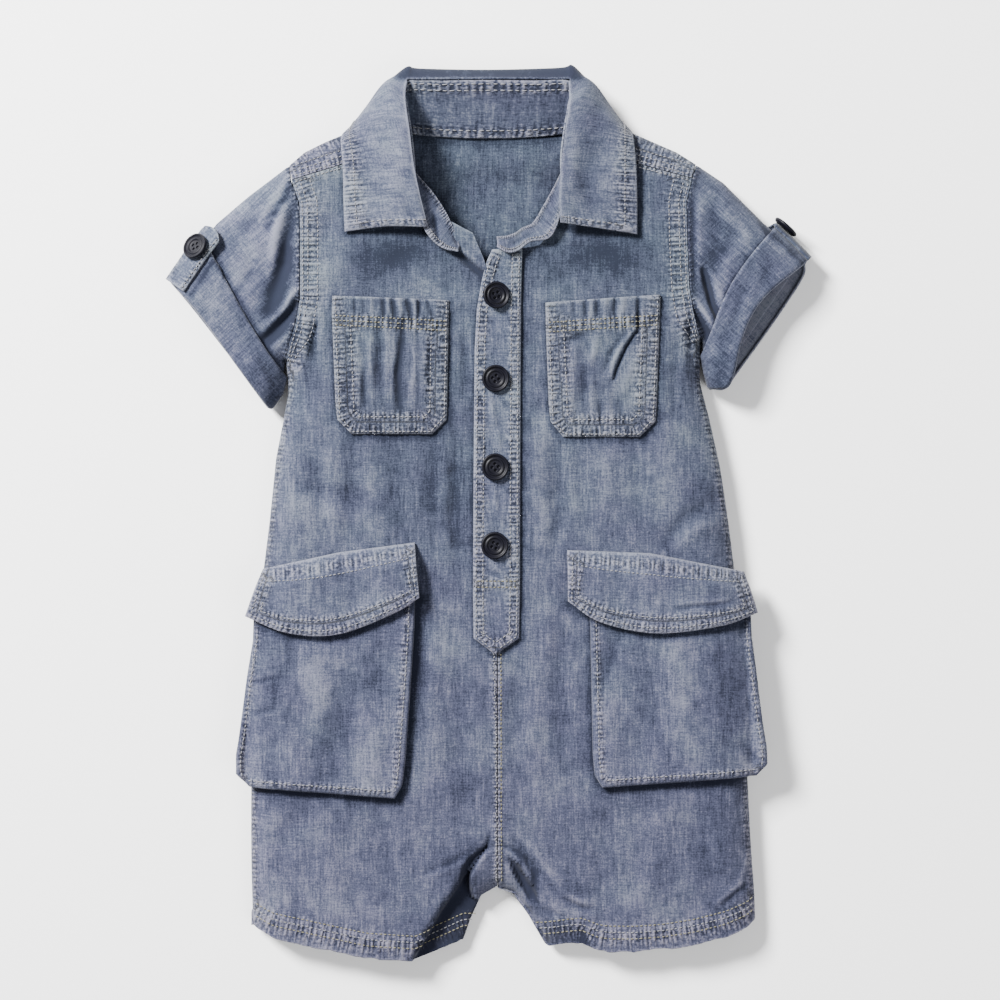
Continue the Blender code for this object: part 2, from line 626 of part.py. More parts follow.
# Fall, from the left leaf's front end round the back: fold, roll, middle and outer edge.
FALL = [
    # fold x, y, z,        roll x, y, z,         middle x, y, z,        outer x, y, z
    (-33.0, 156.5, 25.5, -37.0, 156.2, 26.5, -57.0, 156.5, 24.5, -78.9, 154.0, 22.0),
    (-37.5, 174.5, 28.4, -42.0, 174.5, 28.8, -60.0, 173.5, 25.5, -79.6, 172.0, 22.5),
    (-40.8, 191.0, 28.8, -46.0, 191.5, 28.8, -62.0, 191.5, 25.5, -80.0, 191.0, 22.0),
    (-43.0, 209.0, 28.6, -50.0, 211.0, 28.0, -66.0, 210.0, 23.5, -81.3, 205.5, 17.5),
    (-45.0, 222.0, 26.6, -53.0, 224.5, 24.5, -67.0, 220.5, 18.5, -79.0, 211.5, 10.0),
    (-46.0, 230.5, 21.5, -55.5, 234.0, 18.0, -66.0, 226.0, 10.0, -74.0, 215.5, 2.8),
    (-46.5, 237.0, 19.4, -51.0, 240.8, 13.0, -57.0, 231.0, 4.5, -57.5, 210.0, 0.4),
    (-24.0, 239.2, 18.8, -26.0, 245.8, 12.0, -27.0, 236.0, 3.2, -27.0, 205.5, 0.1),
    (0.0, 239.6, 18.8, 0.0, 246.1, 12.0, 0.0, 236.0, 3.0, 0.0, 204.5, 0.1),
    (24.0, 239.2, 18.8, 26.0, 245.8, 12.0, 27.0, 236.0, 3.2, 27.0, 205.5, 0.1),
    (45.5, 237.5, 19.4, 50.0, 241.2, 13.0, 56.5, 231.0, 4.5, 57.5, 210.0, 0.4),
    (45.0, 230.5, 21.5, 54.8, 234.0, 18.0, 66.0, 225.5, 10.0, 74.0, 215.5, 2.8),
    (44.0, 222.0, 26.6, 52.0, 224.5, 24.5, 66.5, 220.0, 18.5, 78.5, 211.5, 10.0),
    (42.0, 209.0, 28.6, 49.0, 211.0, 28.0, 65.0, 210.0, 23.5, 79.7, 206.5, 17.5),
    (39.8, 191.0, 28.8, 45.0, 191.5, 28.8, 62.0, 191.5, 25.5, 81.1, 191.0, 22.0),
    (38.5, 174.5, 28.4, 43.0, 174.5, 28.8, 61.0, 173.0, 25.5, 81.6, 171.5, 22.5),
    (39.3, 158.5, 26.5, 44.0, 157.8, 27.0, 61.0, 155.5, 25.0, 81.7, 152.6, 22.0),
]


def stand():
    rows = np.array(STAND)
    share = np.linspace(0, 1, 37)
    low, high = smooth_through(rows[:, :3], share), smooth_through(rows[:, 3:], share)
    points = np.stack([low, (low + high) / 2, high], 1)
    normals = grid_normals(points)
    centre = np.array([0, 190, 40.0])
    inwards = np.einsum("ijk,ijk->ij", normals, centre - points)
    normals *= np.where(inwards.mean() > 0, 1, -1)
    Sheet().patch(points, normals).build("collar_stand", DENIM_DARK)


def fall():
    rows = np.array(FALL)
    share = np.linspace(0, 1, 41)
    knots = np.stack([smooth_through(rows[:, k:k + 3], share) for k in (0, 3, 6, 9)], 1)
    across = np.linspace(0, 1, 10)
    points = np.stack([smooth_through(k, across) for k in knots])
    normals = grid_normals(points)
    Sheet().patch(points, normals).build("collar_fall", DENIM_LIGHT)


# ---- pieces laid on the fronts -------------------------------------------------------------------
PLACKET = table("y left right", [
    (144.5, 2.0, 18.6), (138, -1, 18.5), (128, -3.6, 18.2), (112, -6.4, 17.9), (90, -7.6, 17.8),
    (50, -8, 17.6), (0, -8.3, 17.4), (-45, -8.5, 17.3), (-69, -8.2, 16.8), (-77.5, 3.0, 4.4)])
BUTTONS_Y = (121.0, 73.5, 25.0, -18.0)


def placket():
    y = np.array([144.5, 138, 128, 112, 96, 82, 66, 50, 34, 18, 0, -18, -34, -52, -69, -77.5])
    left = np.interp(-y, -PLACKET["y"], PLACKET["left"])
    right = np.interp(-y, -PLACKET["y"], PLACKET["right"])
    share = np.array([0, .22, .5, .78, 1])
    x = left[:, None] + share * (right - left)[:, None]
    points, normals = front(x, np.repeat(y[:, None], 5, 1))
    Sheet().patch(points + normals * (LAY + WALL), normals).build("placket", DENIM_LIGHT)


CHEST = {
    "left": table("y low high", [(119, -85.8, -21.5), (108, -86, -21.8), (60, -84, -22.6),
                                 (51, -83, -22.8), (43, -75, -31)]),
    "right": table("y low high", [(119.5, 31.2, 94.4), (108, 31.4, 94.2), (60, 33, 92.4),
                                  (50, 34, 91.8), (41.5, 41, 83)]),
}
CHEST_PUFF = 1.6


def chest_pocket(name, outline):
    y = np.array([119, 111, 97, 83, 69, 56, 50.5, 42.5]) + (outline["y"][-1] - 43) * .5
    low = np.interp(-y, -outline["y"], outline["low"])
    high = np.interp(-y, -outline["y"], outline["high"])
    share = np.array([0, .08, .3, .5, .7, .92, 1])
    x = low[:, None] + share * (high - low)[:, None]
    points, normals = front(x, np.repeat(y[:, None], len(share), 1))
    down = np.linspace(0, 1, len(y))[:, None]
    puff = CHEST_PUFF * np.sin(math.pi * share) ** .7 * np.cos(down * math.pi / 2) ** .6
    points = points + normals * (LAY + WALL + puff)[..., None]
    Sheet().patch(points, normals).build("chest_pocket_" + name, DENIM)


CARGO = {
    "left": dict(
        side=-1,
        body=table("y inner outer", [
            (-40, -40.2, -129.5), (-62, -40.6, -130), (-100, -43, -134.5),
            (-136, -45.6, -139.2), (-149, -47.4, -139.2), (-156, -51.5, -132)]),
        slant=12.5,
        flap_top=[(-38.6, -18), (-80, -24.5), (-124.6, -32.5)],
        flap_low=[(-37.6, -46.5), (-51.4, -55), (-81.7, -66.5), (-109.2, -66), (-133.9, -57)]),
    "right": dict(
        side=1,
        body=table("y inner outer", [
            (-40, 54.6, 144.2), (-62, 55.8, 145), (-100, 56.6, 149),
            (-132, 57.2, 153.2), (-143.5, 58.4, 153.6), (-150, 62.5, 147.5)]),
        slant=9.0,
        flap_top=[(43.2, -20.6), (88.8, -22.3), (141, -32.5)],
        flap_low=[(43.4, -48.5), (61.3, -60), (91.6, -66), (127.3, -62), (148.2, -55)]),
}
RIM = [(0, 1), (0, .45), (.9, .12), (3.4, 0)]     # a cargo pocket's turned side: inset, drop
SIDE_SHADE = 22.0     # a laid piece starts to droop this far inside the side seam
DROOP = .0098


def side_line(y, side):
    panel = FRONT_LEFT if side < 0 else FRONT_RIGHT
    return np.interp(-y, -panel["outer_y"], panel["outer_x"])


def cover(x, y, side):
    """The height that a stiff laid piece keeps: level over the body, drooping past its side."""
    beyond = side * (x - side_line(y, side)) + SIDE_SHADE
    level = crown_height(x, y) - DROOP * np.maximum(beyond, 0) ** 2
    inside = beyond < SIDE_SHADE
    on_body = front(x, y)[0][..., 2]
    return np.where(inside, np.maximum(level, on_body), level), inside, on_body


def cargo_pocket(name, spec):
    """A face with its three sewn sides turned down to the panel, and its mouth open."""
    body, side = spec["body"], spec["side"]
    inset = np.array([e for e, drop in RIM])
    drop = np.array([d for e, d in RIM])
    bottom = body["y"][-1]
    y_face = np.linspace(-40, bottom + 22, 6)
    y = np.concatenate([y_face, (bottom + inset)[::-1]])
    row_drop = np.concatenate([np.zeros(len(y_face)), drop[::-1]])
    inner = np.interp(-y, -body["y"], body["inner"])
    outer = np.interp(-y, -body["y"], body["outer"])
    width = np.abs(outer - inner)[:, None]
    middle = np.array([.28, .52, .74, .85, .92])
    offset = np.concatenate([np.broadcast_to(inset, (len(y), 4)), middle * width,
                             width - inset[::-1]], axis=1)
    column_drop = np.concatenate([drop, np.zeros(len(middle)), drop[::-1]])
    x = inner[:, None] + side * offset
    away = offset / width
    yy = np.repeat(y[:, None], x.shape[1], 1) - spec["slant"] * away * ease((y[:, None] + 100) / 60)
    yy = yy + (6 * away - 1) * ease((y[:, None] - bottom) / -30 + 1.2)
    level, inside, on_body = cover(x, yy, side)
    near_side = ease(1 + side * (x - side_line(yy, side)) / SIDE_SHADE)
    foot = np.where(inside, on_body + LAY + 3 * near_side, edge_height(yy) + 2)
    top = np.maximum(level, on_body) + CARGO_LIFT
    share = np.maximum(column_drop[None, :], row_drop[:, None])
    z = top - share * (top - foot)
    points = np.stack([x, yy, z], -1)
    Sheet().patch(points, grid_normals(points)).build("cargo_pocket_" + name, DENIM)


def cargo_flap(name, spec):
    """Sewn along its top edge, it rises over the pocket's mouth and lies on its face."""
    side = spec["side"]
    share = np.linspace(0, 1, 9)
    top, low = at(spec["flap_top"], share), smooth_through(spec["flap_low"], share)
    down = np.array([0, .12, .3, .5, .75, 1])[:, None, None]
    plan = (1 - down) * top + down * low
    x, y = plan[..., 0], plan[..., 1]
    level, inside, on_body = cover(x, y, side)
    base = np.where(inside, np.maximum(level, on_body), level)
    fall_from_seam = top[:, 1][None] - y
    rise = (CARGO_LIFT + WALL + LAY) * ease((fall_from_seam + 1) / 13)
    z = base + LAY + WALL + rise
    points = np.stack([x, y, z], -1)
    Sheet().patch(points, grid_normals(points)).build("cargo_flap_" + name, DENIM_LIGHT)


# ---- buttons -------------------------------------------------------------------------------------
SIDES = 20
BUTTON_SECTION = [(0, .9), (.50, .9), (.62, 1.4), (.70, 1.4), (.76, 1.1), (.86, 1.9),
                  (.95, 1.9), (1, 1.2), (.90, .1), (.72, -.6), (0, -.6)]   # share of radius, height
HOLE = .95            # radius of a thread hole
HOLE_OUT = 1.9        # its distance from the middle along X and Y


def button_mesh():
    """A turned disc with a raised rim and an inner ring, pierced by four thread holes."""
    radius = BUTTON / 2
    angle = np.arange(SIDES) * 2 * math.pi / SIDES
    vertices = [(0, 0, BUTTON_SECTION[0][1])]
    for r, z in BUTTON_SECTION[1:-1]:
        vertices += [(r * radius * math.cos(a), r * radius * math.sin(a), z) for a in angle]
    vertices.append((0, 0, BUTTON_SECTION[-1][1]))
    rings = np.arange(1, len(vertices) - 1).reshape(-1, SIDES)
    rings = np.hstack([rings, rings[:, :1]]).tolist()
    last = len(vertices) - 1
    faces = [[0, a, b] for a, b in zip(rings[0], rings[0][1:])]
    for inner, outer in zip(rings, rings[1:]):
        faces += [list(quad) for quad in zip(inner, outer, outer[1:], inner[1:])]
    faces += [[last, b, a] for a, b in zip(rings[-1], rings[-1][1:])]
    return np.array(vertices), faces


def hole_cutter():
    """Four short posts that cut the thread holes."""
    vertices, faces = [], []
    for sx, sy in ((1, 1), (-1, 1), (-1, -1), (1, -1)):
        start = len(vertices)
        for z in (-3, 4):
            vertices += [(sx * HOLE_OUT + HOLE * math.cos(k * math.pi / 3),
                          sy * HOLE_OUT + HOLE * math.sin(k * math.pi / 3), z) for k in range(6)]
        faces.append([start + k for k in range(6)][::-1])
        faces.append([start + 6 + k for k in range(6)])
        faces += [[start + k, start + (k + 1) % 6, start + 6 + (k + 1) % 6, start + 6 + k]
                  for k in range(6)]
    return np.array(vertices), faces


def place(body, at_point, normal, turn):
    """Lays a disc's own Z on a normal, turned about it."""
    lean = Vector((0, 0, 1)).rotation_difference(Vector(normal)).to_matrix().to_4x4()
    body.matrix_world = (Matrix.Translation(Vector(at_point) * MM) @ lean
                         @ Matrix.Rotation(turn, 4, "Z"))


def button(name, at_point, normal, turn):
    body = add_solid(name, *button_mesh(), HORN, roughness=.35)
    cutter = add_solid(name + "_holes", *hole_cutter(), HORN)
    cutter.hide_render = True
    cutter.display_type = "WIRE"
    for each in (body, cutter):
        place(each, at_point, normal, turn)
    cut = body.modifiers.new("thread_holes", "BOOLEAN")
    cut.operation = "DIFFERENCE"
    cut.solver = "EXACT"
    cut.object = cutter


BUTTON_SEAT = .6 + .45   # the disc's underside and its clearance over the cloth


def buttons():
    for number, y in enumerate(BUTTONS_Y, start=1):
        x = 4.4 - .25 * number
        p, n = front(np.array([x]), np.array([y]))
        lean = unit(n[0] + np.array([.10, 0, 0]) * (number == 1))
        rest = p[0] + n[0] * (LAY + WALL + BUTTON_SEAT + .7 * (number == 1))
        button(f"button_{number}", rest, lean, .3 * number)
    for name, spec in SLEEVES.items():
        p, n = tab_surface(spec, spec["button_at"], spec["button_across"])
        off = TAB_REST + TAB_WALL + BUTTON_SEAT + spec["button_off"]
        button("tab_button_" + name, p + n * off, n, .4)


# ---- everything ----------------------------------------------------------------------------------
def clear_scene():
    for each in list(bpy.data.objects):
        bpy.data.objects.remove(each, do_unlink=True)


def main():
    clear_scene()
    front_panel("front_left", FRONT_LEFT, HEM_LEFT, 7, 16)
    front_panel("front_right", FRONT_RIGHT, HEM_RIGHT, 7, 17)
    back_panel("back_left", FRONT_LEFT, BACK_ARMHOLE_LEFT, HEM_LEFT, 7, 16)
    back_panel("back_right", FRONT_RIGHT, BACK_ARMHOLE_RIGHT, HEM_RIGHT, 7, 17)
    yoke()
    for name, spec in SLEEVES.items():
        sleeve(name, spec)
        cuff(name, spec)
        tab(name, spec)
    stand()
    fall()
    placket()
    for name, outline in CHEST.items():
        chest_pocket(name, outline)
    for name, spec in CARGO.items():
        cargo_pocket(name, spec)
        cargo_flap(name, spec)
    buttons()


main()
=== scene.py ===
"""Looks of a chambray baby romper laid flat on its back.

Every cloth piece is a thin shell: a grid of points on its outer face, and the same grid one
wall thickness behind. Plan sizes are millimetres: +X the viewer's right, +Y to the collar.
Height of the front: z = edge + (crown - edge) * sqrt(1 - (1 - d / TURN)^2), where d is the plan
distance from the nearest folded edge and crown carries the creases, so the cloth turns down
round every fold like a quarter of an ellipse and is level inside. The back is the same below.
"""

import math

import bmesh
import bpy
import numpy as np
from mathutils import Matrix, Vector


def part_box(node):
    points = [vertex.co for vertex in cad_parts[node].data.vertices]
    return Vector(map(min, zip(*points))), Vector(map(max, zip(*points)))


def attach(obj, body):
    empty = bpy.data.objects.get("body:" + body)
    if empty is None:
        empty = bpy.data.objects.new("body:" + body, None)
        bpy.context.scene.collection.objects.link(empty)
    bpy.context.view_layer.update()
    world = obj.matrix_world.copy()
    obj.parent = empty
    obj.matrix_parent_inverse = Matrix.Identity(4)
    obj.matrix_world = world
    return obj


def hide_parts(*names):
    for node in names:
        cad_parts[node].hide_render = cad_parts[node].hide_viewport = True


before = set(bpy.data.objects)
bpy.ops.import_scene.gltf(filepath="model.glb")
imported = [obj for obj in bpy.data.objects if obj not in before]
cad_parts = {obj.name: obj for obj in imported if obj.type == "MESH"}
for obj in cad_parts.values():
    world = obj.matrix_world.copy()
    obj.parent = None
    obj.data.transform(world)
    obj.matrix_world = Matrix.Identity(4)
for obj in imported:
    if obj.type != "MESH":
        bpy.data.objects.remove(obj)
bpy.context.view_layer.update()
MM = 0.001

# ---- sizes shared with the solids --------------------------------------------
WALL = 1.1            # one layer of cloth
LAY = 0.6             # gap under a piece that lies on another
TURN = 21.0           # width over which the cloth turns round a folded edge
CROWN = 19.0          # height of the level cloth in the body's middle
EDGE = 8.0            # height of a folded edge
YOKE_SEAM = 128.0     # where the yoke ends on the back
CARGO_LIFT = 5.0      # depth of a cargo pocket over the body
BUTTON = 15.0         # diameter of a button
UNDERARM = 7          # first station of a front below its armhole
INSEAM = {-1: 16, 1: 17}      # first station of a leg's own inner edge
DROOP_FROM = 22.0     # how far inside the body's side a stiff laid piece begins to droop
DROOP = .0098         # its fall for each square millimetre past that line


def table(names, rows):
    """A short table as named columns."""
    return {name: np.array(col, float) for name, col in zip(names.split(), zip(*rows))}


RIDGE_LEFT = [(-54, 218.5), (-80.5, 209.3), (-91, 204.9), (-102, 199.4), (-110.3, 192.2)]
RIDGE_RIGHT = [(54, 219.5), (79, 210.4), (91.6, 204.9), (104.2, 199.4), (114.7, 192.8)]
SLEEVE_TOP_LEFT = [(-110.6, 192), (-133, 175), (-150.5, 160), (-161, 147), (-175.2, 126.2)]
SLEEVE_TOP_RIGHT = [(115, 192.6), (130, 182.5), (152, 160.5), (164, 150), (175.7, 138)]
SLEEVE_UNDER_LEFT = [(-112.6, 82.5), (-114, 75), (-116.4, 66.6), (-122.6, 58)]
SLEEVE_UNDER_RIGHT = [(117.7, 93.8), (119.4, 87), (121.6, 77.5), (124.4, 68.2)]
ARMHOLE_LEFT = [(-110.3, 192.2), (-108.5, 183), (-103.9, 170), (-103.5, 152), (-103.5, 118),
                (-106, 104), (-109.3, 94), (-112.3, 82.5)]
ARMHOLE_RIGHT = [(114.7, 192.8), (112, 184), (108.8, 171), (109.2, 150), (110.3, 124),
                 (112.4, 111), (115, 101), (117.4, 93.8)]
BACK_ARMHOLE_LEFT = [(-110.3, 192.2), (-107.2, 160), (-104.2, 128), (-106, 104),
                     (-109.3, 94), (-112.3, 82.5)]
BACK_ARMHOLE_RIGHT = [(114.7, 192.8), (112.4, 160), (110.2, 128), (112.4, 111),
                      (115, 101), (117.4, 93.8)]
NECK_BACK = [(-54, 218.5), (-51, 214.5), (-43, 212), (-22, 210), (0, 209.5), (22, 210),
             (43, 212), (51, 215), (54, 219.5)]

# Stations down a front: inner end (neck, centre seam, inseam) and outer end (armhole, side).
FRONT_LEFT = table("inner_x inner_y outer_x outer_y", [
    (-49.8, 200.5, -108.5, 183), (-44.3, 180, -103.9, 170), (-27.5, 163.5, -103.5, 152),
    (-8.5, 153.5, -103.5, 136), (-2.6, 139.5, -103.5, 118), (4.85, 116, -106, 104),
    (4.85, 98, -109.3, 94), (4.85, 82.5, -112.3, 82.5), (4.85, 66, -110.8, 66),
    (4.85, 30, -117.8, 30), (4.85, -5, -121.4, -5), (4.85, -50, -127, -50),
    (4.85, -100, -130.4, -100), (4.85, -150, -131.7, -150), (4.85, -176, -131.8, -176),
    (4.85, -191, -131.7, -189), (4.85, -207.2, -131.5, -200), (-4.2, -212.4, -131.2, -210),
    (-10, -225, -131, -218.5), (-14, -236, -130.6, -227)])
FRONT_RIGHT = table("inner_x inner_y outer_x outer_y", [
    (49.2, 200.5, 112, 184), (44.8, 180, 108.8, 171), (38.2, 161, 109.2, 150),
    (28.3, 147, 109.7, 137), (5.15, 143, 110.3, 124), (5.15, 122, 112.4, 111),
    (5.15, 108, 115, 101), (5.15, 93.8, 117.4, 93.8), (5.15, 72, 117, 72),
    (5.15, 52, 122.3, 52), (5.15, 25, 128.3, 25), (5.15, -5, 132.8, -5),
    (5.15, -50, 138.4, -50), (5.15, -100, 141, -100), (5.15, -150, 143.7, -150),
    (5.15, -176, 145, -176), (5.15, -191, 145.9, -188), (5.15, -207.4, 146.8, -198),
    (14.2, -210.2, 147.3, -204), (23, -222, 147.6, -210), (32.7, -239, 147.7, -216)])
HEM_LEFT = table("share drop", [
    (0, 0), (.1, 6), (.227, 13.4), (.45, 13.6), (.7, 9.8), (.9, 6.6), (1, 2)])
HEM_RIGHT = table("share drop", [
    (0, .8), (.1, 1.2), (.158, 1.8), (.2, 4.6), (.24, 7.4), (.29, 9.4), (.407, 12.1), (.554, 14.3),
    (.698, 15), (.846, 14.2), (.96, 11.8), (1, 9)])
HEM_FROM = -150.0
CROWN_ALONG = table("y height", [
    (-250, -2.5), (-205, -2), (-120, 0), (60, .5), (150, 0), (215, -2)])
EDGE_ALONG = table("y height", [(-250, -2.5), (-180, -1.5), (-60, 0), (220, .5)])

# Where a leg's inner part lies lower, behind a folded edge: the fold's line and its depth, and
# the line where the crotch facing rises again.
LEG_FOLD = {
    -1: (table("y x depth rise", [
        (-176, -.5, 0, 2), (-185, -3.3, 3, -2), (-192, -8, 5, -6.5), (-199, -12.6, 6.5, -11),
        (-206, -17.5, 7, -11), (-213, -22, 7.5, -9.6), (-217, -24.6, 7.5, -4),
        (-222, -28, 7.5, 30), (-250, -44, 7.5, 30)])),
    1: (table("y x depth rise", [
        (-186, 10, 0, 10), (-192, 15.5, 2.5, 12), (-199, 20.5, 4.5, 15), (-206, 24.8, 5, 19),
        (-212, 27.4, 4, 22), (-217, 30, 1.5, 24), (-224, 48, 0.8, -60),
        (-232, 55, 2.2, -60), (-250, 62, 3.2, -60)])),
}

# Creases: both ends, half width, height (a trough is below zero), and how far the middle bows.
BODY_CREASES = table("x0 y0 x1 y1 wide high bow", [
    (-94, 104, -96.8, 87, 1.7, -2.3, .6), (-96.8, 90, -100, 68, 3.4, -1.5, 0),
    (-99.5, 108, -102, 84, 1.8, .9, 0), (-90.5, 116, -92.5, 84, 2.2, .7, .5),
    (-91.5, 120, -87.6, 102, 1.4, -.8, 0), (-104, 62, -95, 22, 6, -1.1, 3),
    (-112, 50, -108, 10, 5, .8, 2), (-98, 40, -92, 0, 5, -.8, -2),
    (-84, 40, -86, -8, 4.5, .7, 1), (-76, 38, -78, -12, 4, -.9, -1), (-66, 38, -63, -8, 4, .6, 0),
    (-53, 38, -50, -12, 4.5, -.9, 1), (-41, 40, -39, -4, 4, .6, 0), (-31, 40, -27, -16, 4, -.8, 1),
    (-17.5, 42, -17.5, -24, 4.2, -1.5, 1), (-13, 94, -12.4, 68, 2.4, -1.1, 0),
    (-24, 26, -24.5, -22, 3.2, .7, 0), (-15, 58, -14, 40, 2.2, .6, 0),
    (-19, 122, -30, 128, 2.6, -.8, -1), (-14, 116, -22, 112, 2, .5, 0),
    (-40, 146, -60, 128, 6, -.9, 2), (-70, 150, -88, 132, 7, .8, 0), (-54, 134, -34, 126, 5, .6, 1),
    (-84, 165, -96, 140, 4.5, -.8, 1), (-98, 160, -99, 122, 2.5, -.5, 0),
    (-118, 20, -70, 6, 7, -1.3, 2), (-112, 12, -76, 0, 6, .7, 2),
    (110.3, 104, 111.6, 86, 1.5, -2.1, .5), (106.5, 106, 107.4, 80, 2.2, .9, 0),
    (104, 92, 101, 56, 4, -1.0, 1), (98, 80, 97, 40, 4, .7, 0),
    (38.5, 32, 37.4, -14, 4.2, -1.5, -1), (29, 62, 28.5, -12, 5, .8, 0),
    (50, 38, 52, 0, 4.5, -.7, 0), (66, 38, 66, 2, 5, .6, 0), (82, 38, 84, -6, 5.5, -.7, 1),
    (121, 3, 98, -15, 4.6, -1.6, 3), (127, -5, 106, -17, 4, .9, 2), (112, 40, 116, 6, 6, -.6, 2),
    (97, 30, 104, 0, 6, .6, -2), (30, 126, 48, 132, 4, -.7, 1), (62, 144, 84, 128, 6, -.8, 2),
    (70, 150, 96, 140, 6, .6, 0), (98, 160, 104, 124, 3.5, -.6, 0), (24, 104, 34, 99, 2.2, -.5, 0),
    (22, 58, 31, 55, 2.2, -.5, 0), (22, 14, 32, 9, 2.4, -.6, 0), (-12, 25, -24, 20, 2.4, -.6, 0),
    (-12, -17, -24, -20, 2.4, -.5, 0), (22, -20, 34, -27, 2.4, -.6, 0),
    (-30, -74, -31, -150, 6, .7, 1), (-17, -84, -15, -168, 5, -.8, -1),
    (-36, -60, -36, -120, 3.5, -.9, 0), (26, -84, 27, -160, 6, .7, 0), (15, -78, 14, -140, 4, -.6, 0),
    (41, -70, 40, -138, 4.5, -1.0, 1), (33, -56, 32, -84, 4, .6, 0), (-54, -114, -29, -115.5, 1, -.4, 0),
    (-33.5, -197.6, -10, -186, 1.3, -.9, 1), (-31, -200, -9, -188.6, 1.4, .6, 1),
    (-105, -168, -112, -188, 7, -1.2, 2), (-92, -170, -72, -232, 8, 1.1, 3),
    (-60, -170, -50, -226, 7, -.8, 2), (-112, -200, -100, -226, 4, -.6, 0),
    (-122, -176, -126, -214, 3.2, .7, 0), (-66, -216, -52, -228, 4, .6, 0),
    (8, -182, 9, -206, 1.6, -.5, 0), (14.5, -180, 37, -209, 1.5, -.9, -1),
    (17.5, -178, 40, -206, 1.7, .6, -1), (43, -213, 55, -218.4, 1.8, -1.3, 1),
    (42, -210, 55, -214.6, 1.6, .7, 1), (126, -214.5, 139, -204.5, 1.3, .9, 0),
    (139, -204.5, 143, -190, 1.3, .8, 0), (128, -217, 141.4, -206, 1.4, -.9, 0),
    (98, -170, 84, -228, 8, 1.0, 3), (66, -170, 62, -224, 7, -.9, 2), (118, -172, 124, -206, 7, -.8, 2),
    (1.4, -183.5, -9.6, -191.6, 1.5, -1.7, .6), (-9.6, -191.6, -13.8, -204.5, 1.6, -2.6, 1),
    (-13.8, -204.5, -7.4, -216.4, 1.3, -1.7, 1), (-1, -187, -7.4, -194.5, 1.6, .9, .6),
    (-8, -195, -10.4, -204.5, 1.5, .8, .6), (8.6, -183.5, 21.7, -192.2, 1.5, -1.7, -.8),
    (21.7, -192.2, 26, -201.4, 1.7, -2.6, -.6), (26, -201.4, 24.6, -211.4, 1.3, -1.3, -.5),
    (11, -188, 19.4, -196, 1.6, .9, -.6), (20.6, -197, 22, -206, 1.5, .8, 0),
    (-17.6, 142.4, -4, 131.4, 1.6, -2.6, 0), (-16, 145.4, -3, 134.8, 1.2, .9, 0),
    (-26, 160, -21, 147, 1.6, -1.2, 0),
])
# Soft patches, lighter (above zero) or darker: partly the dye washed unevenly, partly painted light and
# painted shade, as under the collar's leaves, at the underarms, down the right sleeve and in the crotch's
# folds.
DYE_AND_PAINTED_SHADING = table("x y wide tall tone", [
    (-92, 150, 14, 46, .40), (-60, 144, 32, 10, -.85), (62, 143, 32, 10, -.80), (92, 148, 12, 40, -.20),
    (-56, 130, 34, 10, -.25), (58, 128, 30, 10, -.22), (30, 136, 12, 10, -.5), (-22, 138, 14, 8, -.5),
    (-13, 40, 8, 70, -.30), (24, 40, 6, 70, -.22), (-118, -30, 10, 60, -.10), (136, -60, 8, 80, -.30),
    (-36, 14, 26, 44, -.55), (-60, 62, 40, 20, -.2), (-98, 22, 14, 46, .18), (-112, -10, 12, 30, .16),
    (-18, 60, 8, 44, .12),
    (118, 22, 10, 50, -.22), (60, 20, 34, 30, .10), (30, -10, 10, 40, .16), (24, 90, 7, 44, .14),
    (-20, -110, 12, 50, .08), (30, -120, 16, 44, .08), (-60, -190, 46, 16, .10), (90, -200, 40, 20, -.12),
    (-110, -200, 16, 20, .20), (130, -190, 12, 24, -.20), (-34, -222, 12, 22, -.25), (4, -160, 12, 24, -.08),
    (-132, 156, 18, 20, .30), (-116, 124, 8, 24, -.70), (-109, 100, 7, 13, -1.2), (136, 150, 26, 34, -.45),
    (119, 124, 6, 26, -.35), (-152, 118, 18, 16, .10), (-126, 74, 14, 16, -.50), (156, 124, 18, 18, -.25),
    (130, 84, 14, 16, -.60), (-9, -196, 5, 12, -.5), (17, -196, 5, 12, -.5), (-20, -194, 8, 10, -.5),
    (-10.8, -193, 1.8, 8, -1.3), (-14.2, -206, 2.2, 5, -1.3), (24.6, -203, 1.9, 7, -1.3),
    (17.2, -191.5, 2.4, 4, -1.1), (-116, 60, 5, 5, -.7), (127, 70, 7, 5, -.9), (-50, 143, 20, 10, -.50),
    (64, 144, 24, 9, -.50), (-4.5, -196, 2, 7, .5), (12.5, -197, 2.6, 8, .5), (52, -209, 9, 3, -.6)])
SLEEVE_CREASES = table("x0 y0 x1 y1 wide high bow", [
    (-107.5, 181, -121, 157, 1.8, -1.7, 1), (-110, 184, -124, 162, 2.4, .9, 1),
    (-106.5, 168, -112, 138, 3.4, -2.0, 1), (-112, 140, -119.5, 112, 4.6, -2.4, 1),
    (-113, 166, -120, 132, 3.4, 1.5, 0), (-121, 156, -137, 116, 7, 1.4, 1),
    (-128, 140, -138, 118, 4, -.9, 0), (-106, 114, -123.5, 94.6, 2.8, -3.4, -1.5),
    (-106.5, 121, -121, 104, 2.2, 1.5, -1), (-108, 104, -117, 90, 2.0, .9, 0),
    (-128, 166, -146, 146, 6, -.6, 0), (-135, 168, -150, 154, 4, .5, 0),
    (118.2, 132, 127.2, 105, 1.7, -2.9, .8), (122, 132, 130, 112, 3, 1.1, 0),
    (112.5, 110, 121.8, 96, 2.0, -3.6, -.5), (114, 116, 123, 101, 1.7, 1.2, 0),
    (134, 149, 122, 126, 5, -1.1, 2), (140, 150, 130, 128, 5, .9, 2), (116, 170, 115, 134, 3.5, .9, 0),
    (112.5, 168, 113.5, 130, 2.0, -.8, 0), (149, 161.5, 156, 151.5, 1.6, -.9, 0),
    (128, 172, 140, 154, 6, .7, 0), (124, 176, 126, 150, 4, -.7, 0),
])
